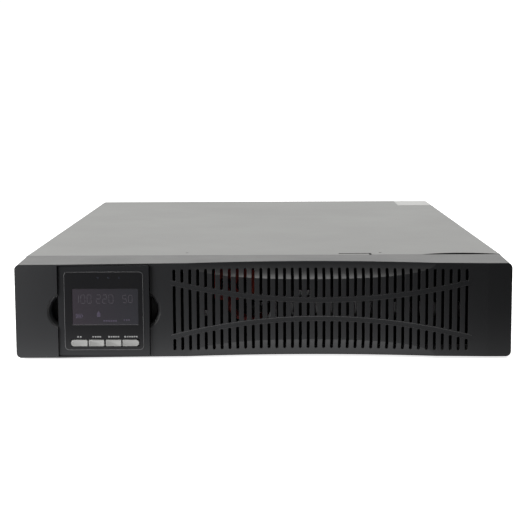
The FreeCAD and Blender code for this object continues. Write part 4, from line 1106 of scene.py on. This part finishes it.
def model_hub_label(index):
    low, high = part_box("fan_rotor_" + str(index))
    centre = ((low.x + high.x) / 2, high.y + HUB_LABEL_THICK / 2, (low.z + high.z) / 2)
    label = drum("hub_label_" + str(index), centre, HUB_LABEL_R, HUB_LABEL_THICK, 48)
    pick_faces(label, lambda at, normal: normal.y > 0.9)
    bpy.ops.mesh.inset(thickness=HUB_RING_INSET)
    bpy.ops.mesh.inset(thickness=HUB_RING_WIDTH, depth=-HUB_LABEL_THICK / 2)
    bpy.ops.mesh.inset(thickness=HUB_RING_WIDTH, depth=HUB_LABEL_THICK / 2)
    leave_edit()
    return dress(label, palette["label_film"], "fan_rotor_" + str(index))


for number in (1, 2):
    model_hub_label(number)

# %% [markdown]
# ## Thumb screws on the card cover
# The blank plate over the card slot is held by two knurled thumb screws.  A
# knurl is a ring of small flats, so the side faces of a many-sided drum are
# inset one by one and pushed in.  The driver slot is cut with a boolean.

# %% Model the thumb screws
THUMB_SIDES = 30
THUMB_CHAMFER = 0.4 * MM
KNURL_DEPTH = 0.2 * MM
DRIVER_WIDTH = 1.0 * MM
DRIVER_DEEP = 0.9 * MM
SHANK_R = 1.45 * MM


def model_thumb_screw(x):
    low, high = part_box("slot_screws")
    radius = (high.z - low.z) / 2
    z = (low.z + high.z) / 2
    head_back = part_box("slot_cover")[1].y
    head_deep = high.y - head_back
    head = drum("thumb_screw", (x, (high.y + head_back) / 2, z), radius, head_deep, THUMB_SIDES)
    pick_faces(head, lambda at, normal: normal.y > 0.9)
    bpy.ops.mesh.bevel(offset=THUMB_CHAMFER, segments=2, affect="EDGES")
    pick_faces(head, lambda at, normal: abs(normal.y) < 0.1)
    bpy.ops.mesh.inset(thickness=0.1 * MM, depth=-KNURL_DEPTH, use_individual=True)
    pick_faces(head, lambda at, normal: normal.y < -0.9)
    shank_scale = SHANK_R / radius
    bpy.ops.mesh.extrude_region_move(TRANSFORM_OT_translate={"value": (0, 0, 0)})
    bpy.ops.transform.resize(value=(shank_scale, 1, shank_scale), center_override=(x, head_back, z))
    stretch((0, low.y - head_back, 0))
    leave_edit()
    cutter = block("cutter", (x - radius, high.y - DRIVER_DEEP, z - DRIVER_WIDTH / 2),
                   (x + radius, high.y + MM, z + DRIVER_WIDTH / 2))
    finish_modifier(head, "BOOLEAN", operation="DIFFERENCE", object=cutter)
    bpy.data.objects.remove(cutter)
    return head


screws_low, screws_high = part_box("slot_screws")
screw_radius = (screws_high.z - screws_low.z) / 2
thumb_screws = joined("thumb_screws", [model_thumb_screw(screws_low.x + screw_radius),
                                       model_thumb_screw(screws_high.x - screw_radius)])
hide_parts("slot_screws")
dress(thumb_screws, palette["screw_steel"], "chassis", 25)

# %% [markdown]
# ## Rings
# Two kinds of plain ring finish the hardware.  Pressed inserts line the rack
# ear holes in the sides of the case, and heat-shrink collars close the throats
# of the battery plug.  A ring is a drum whose two ends are inset and joined
# through, so it has a true bore.

# %% Model the inserts and the collars
INSERT_R = 2.05 * MM
INSERT_BORE = 1.5 * MM
INSERT_LONG = 3.0 * MM
RACK_HOLES = ((20 * MM, 20 * MM), (20 * MM, 66 * MM), (50 * MM, 20 * MM), (50 * MM, 66 * MM))
COLLAR_R = 4.3 * MM
LEAD_R = 3.25 * MM
COLLAR_LONG = 13.0 * MM
COLLAR_SHIFT = 8 * MM
COLLAR_BACK = 2 * MM
RING_SOFT = 0.15 * MM


def ring(name, centre, outer, bore, long, axis):
    """A tube: both ends of a drum are inset, then bridged through the middle."""
    piece = drum(name, centre, outer, long, 32, axis)
    pick_faces(piece, lambda at, normal: abs(normal.dot(ALONG[axis])) > 0.9)
    bpy.ops.mesh.inset(thickness=outer - bore)
    bpy.ops.mesh.bridge_edge_loops()
    leave_edit()
    finish_modifier(piece, "BEVEL", width=RING_SOFT, segments=2, limit_method="ANGLE")
    return piece


cover_low, cover_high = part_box("chassis_cover")
case_half = (cover_high.x - cover_low.x) / 2
insert_x = case_half - INSERT_LONG / 2
inserts = [ring("insert", (side * insert_x, cover_low.y + back, z),
                INSERT_R, INSERT_BORE, INSERT_LONG, "x")
           for side in (-1, 1) for back, z in RACK_HOLES]
rack_inserts = joined("rack_inserts", inserts)
dress(rack_inserts, palette["screw_steel"], "chassis")

plug_low, plug_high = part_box("battery_plug")
plug_middle = (plug_low + plug_high) / 2
collars = [ring("collar", (plug_middle.x + shift, plug_low.y + COLLAR_BACK, plug_middle.z),
                COLLAR_R, LEAD_R, COLLAR_LONG, "y") for shift in (-COLLAR_SHIFT, COLLAR_SHIFT)]
plug_collars = joined("plug_collars", collars)
dress(plug_collars, palette["lead_black"], "chassis")

# %% [markdown]
# ## The serial port
# A nine-way socket is a plated flange with a D-shaped shell, a black insulator
# inside it and two six-sided posts for the plug's screws.  The shell is a
# block whose lower side is drawn in.  Its face is inset and pushed back to
# leave a thin wall, and the insulator and the nine contacts sit inside.

# %% Model the serial port
SHELL_HALF = (8.4 * MM, 4.1 * MM)
SHELL_WALL = 0.5 * MM
SHELL_POCKET = 2.5 * MM
SHELL_PROUD = 3.9 * MM
D_TAPER = 0.84
FLANGE_HALF = (15.4 * MM, 6.2 * MM)
POST_SHIFT = 12.4 * MM
POST_R = 2.7 * MM
INSULATOR_SET_BACK = 0.5 * MM
CONTACT_R = 0.55 * MM
CONTACT_PITCH = 2.75 * MM
CONTACT_ROW = 1.4 * MM
CONTACT_LONG = 0.3 * MM
CONTACT_RIM = 0.25 * MM
CONTACT_CUP = 0.2 * MM
SHELL_CORNER = 1.4 * MM
FLANGE_CORNER = 1.5 * MM
INSULATOR_CORNER = 1.1 * MM
INSULATOR_INSET = 0.7 * MM
POST_OUT = 2.1 * MM
POST_LONG = 3.2 * MM
POST_RIM = 1.1 * MM
POST_BORE = 1.5 * MM

port_low, port_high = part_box("serial_port")
port_x = (port_low.x + port_high.x) / 2
port_z = (port_low.z + port_high.z) / 2
panel_y = port_high.y - SHELL_PROUD


def upright_block(name, half, y0, y1, corner, taper=1.0):
    """A block about the port's centre with rounded corners and a drawn-in lower side."""
    piece = block(name, (port_x - half[0], y0, port_z - half[1]),
                  (port_x + half[0], y1, port_z + half[1]))
    pick_faces(piece, lambda at, normal: normal.z < -0.9)
    bpy.ops.transform.resize(value=(taper, 1, 1), center_override=(port_x, y0, port_z))
    pick_edges(piece, lambda at, way: abs(way.y) > 0.9)
    bpy.ops.mesh.bevel(offset=corner, segments=4)
    leave_edit()
    return piece


def model_serial_shell():
    """The plated flange, its D-shaped shell and the two hollow six-sided posts."""
    shell = upright_block("serial_shell", SHELL_HALF, port_low.y, port_high.y, SHELL_CORNER, D_TAPER)
    pick_faces(shell, lambda at, normal: normal.y > 0.9)
    bpy.ops.mesh.inset(thickness=SHELL_WALL)
    stretch((0, -SHELL_POCKET, 0))
    leave_edit()
    flange = upright_block("flange", FLANGE_HALF, panel_y, panel_y + MM, FLANGE_CORNER)
    parts = [shell, flange]
    for shift in (-POST_SHIFT, POST_SHIFT):
        post = drum("post", (port_x + shift, panel_y + POST_OUT, port_z), POST_R, POST_LONG, 6)
        pick_faces(post, lambda at, normal: normal.y > 0.9)
        bpy.ops.mesh.inset(thickness=POST_RIM)
        stretch((0, -POST_BORE, 0))
        leave_edit()
        parts.append(post)
    return joined("serial_shell", parts)


serial_shell = model_serial_shell()
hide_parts("serial_port")
dress(serial_shell, palette["port_metal"], "chassis", 25)
inner_half = (SHELL_HALF[0] - INSULATOR_INSET, SHELL_HALF[1] - INSULATOR_INSET)
insulator_y = port_high.y - INSULATOR_SET_BACK
serial_insulator = upright_block("serial_insulator", inner_half, port_high.y - SHELL_POCKET,
                                 insulator_y, INSULATOR_CORNER, D_TAPER)
dress(serial_insulator, palette["socket_plastic"], "chassis")
contacts = []
for row, count in ((CONTACT_ROW, 5), (-CONTACT_ROW, 4)):
    for order in range(count):
        contact_x = port_x + (order - (count - 1) / 2) * CONTACT_PITCH
        contacts.append(drum("contact", (contact_x, insulator_y, port_z + row),
                             CONTACT_R, CONTACT_LONG, 16))
serial_contacts = joined("serial_contacts", contacts)
pick_faces(serial_contacts, lambda at, normal: normal.y > 0.9)
bpy.ops.mesh.inset(thickness=CONTACT_RIM, depth=-CONTACT_CUP, use_individual=True)
leave_edit()
dress(serial_contacts, brass, "chassis")
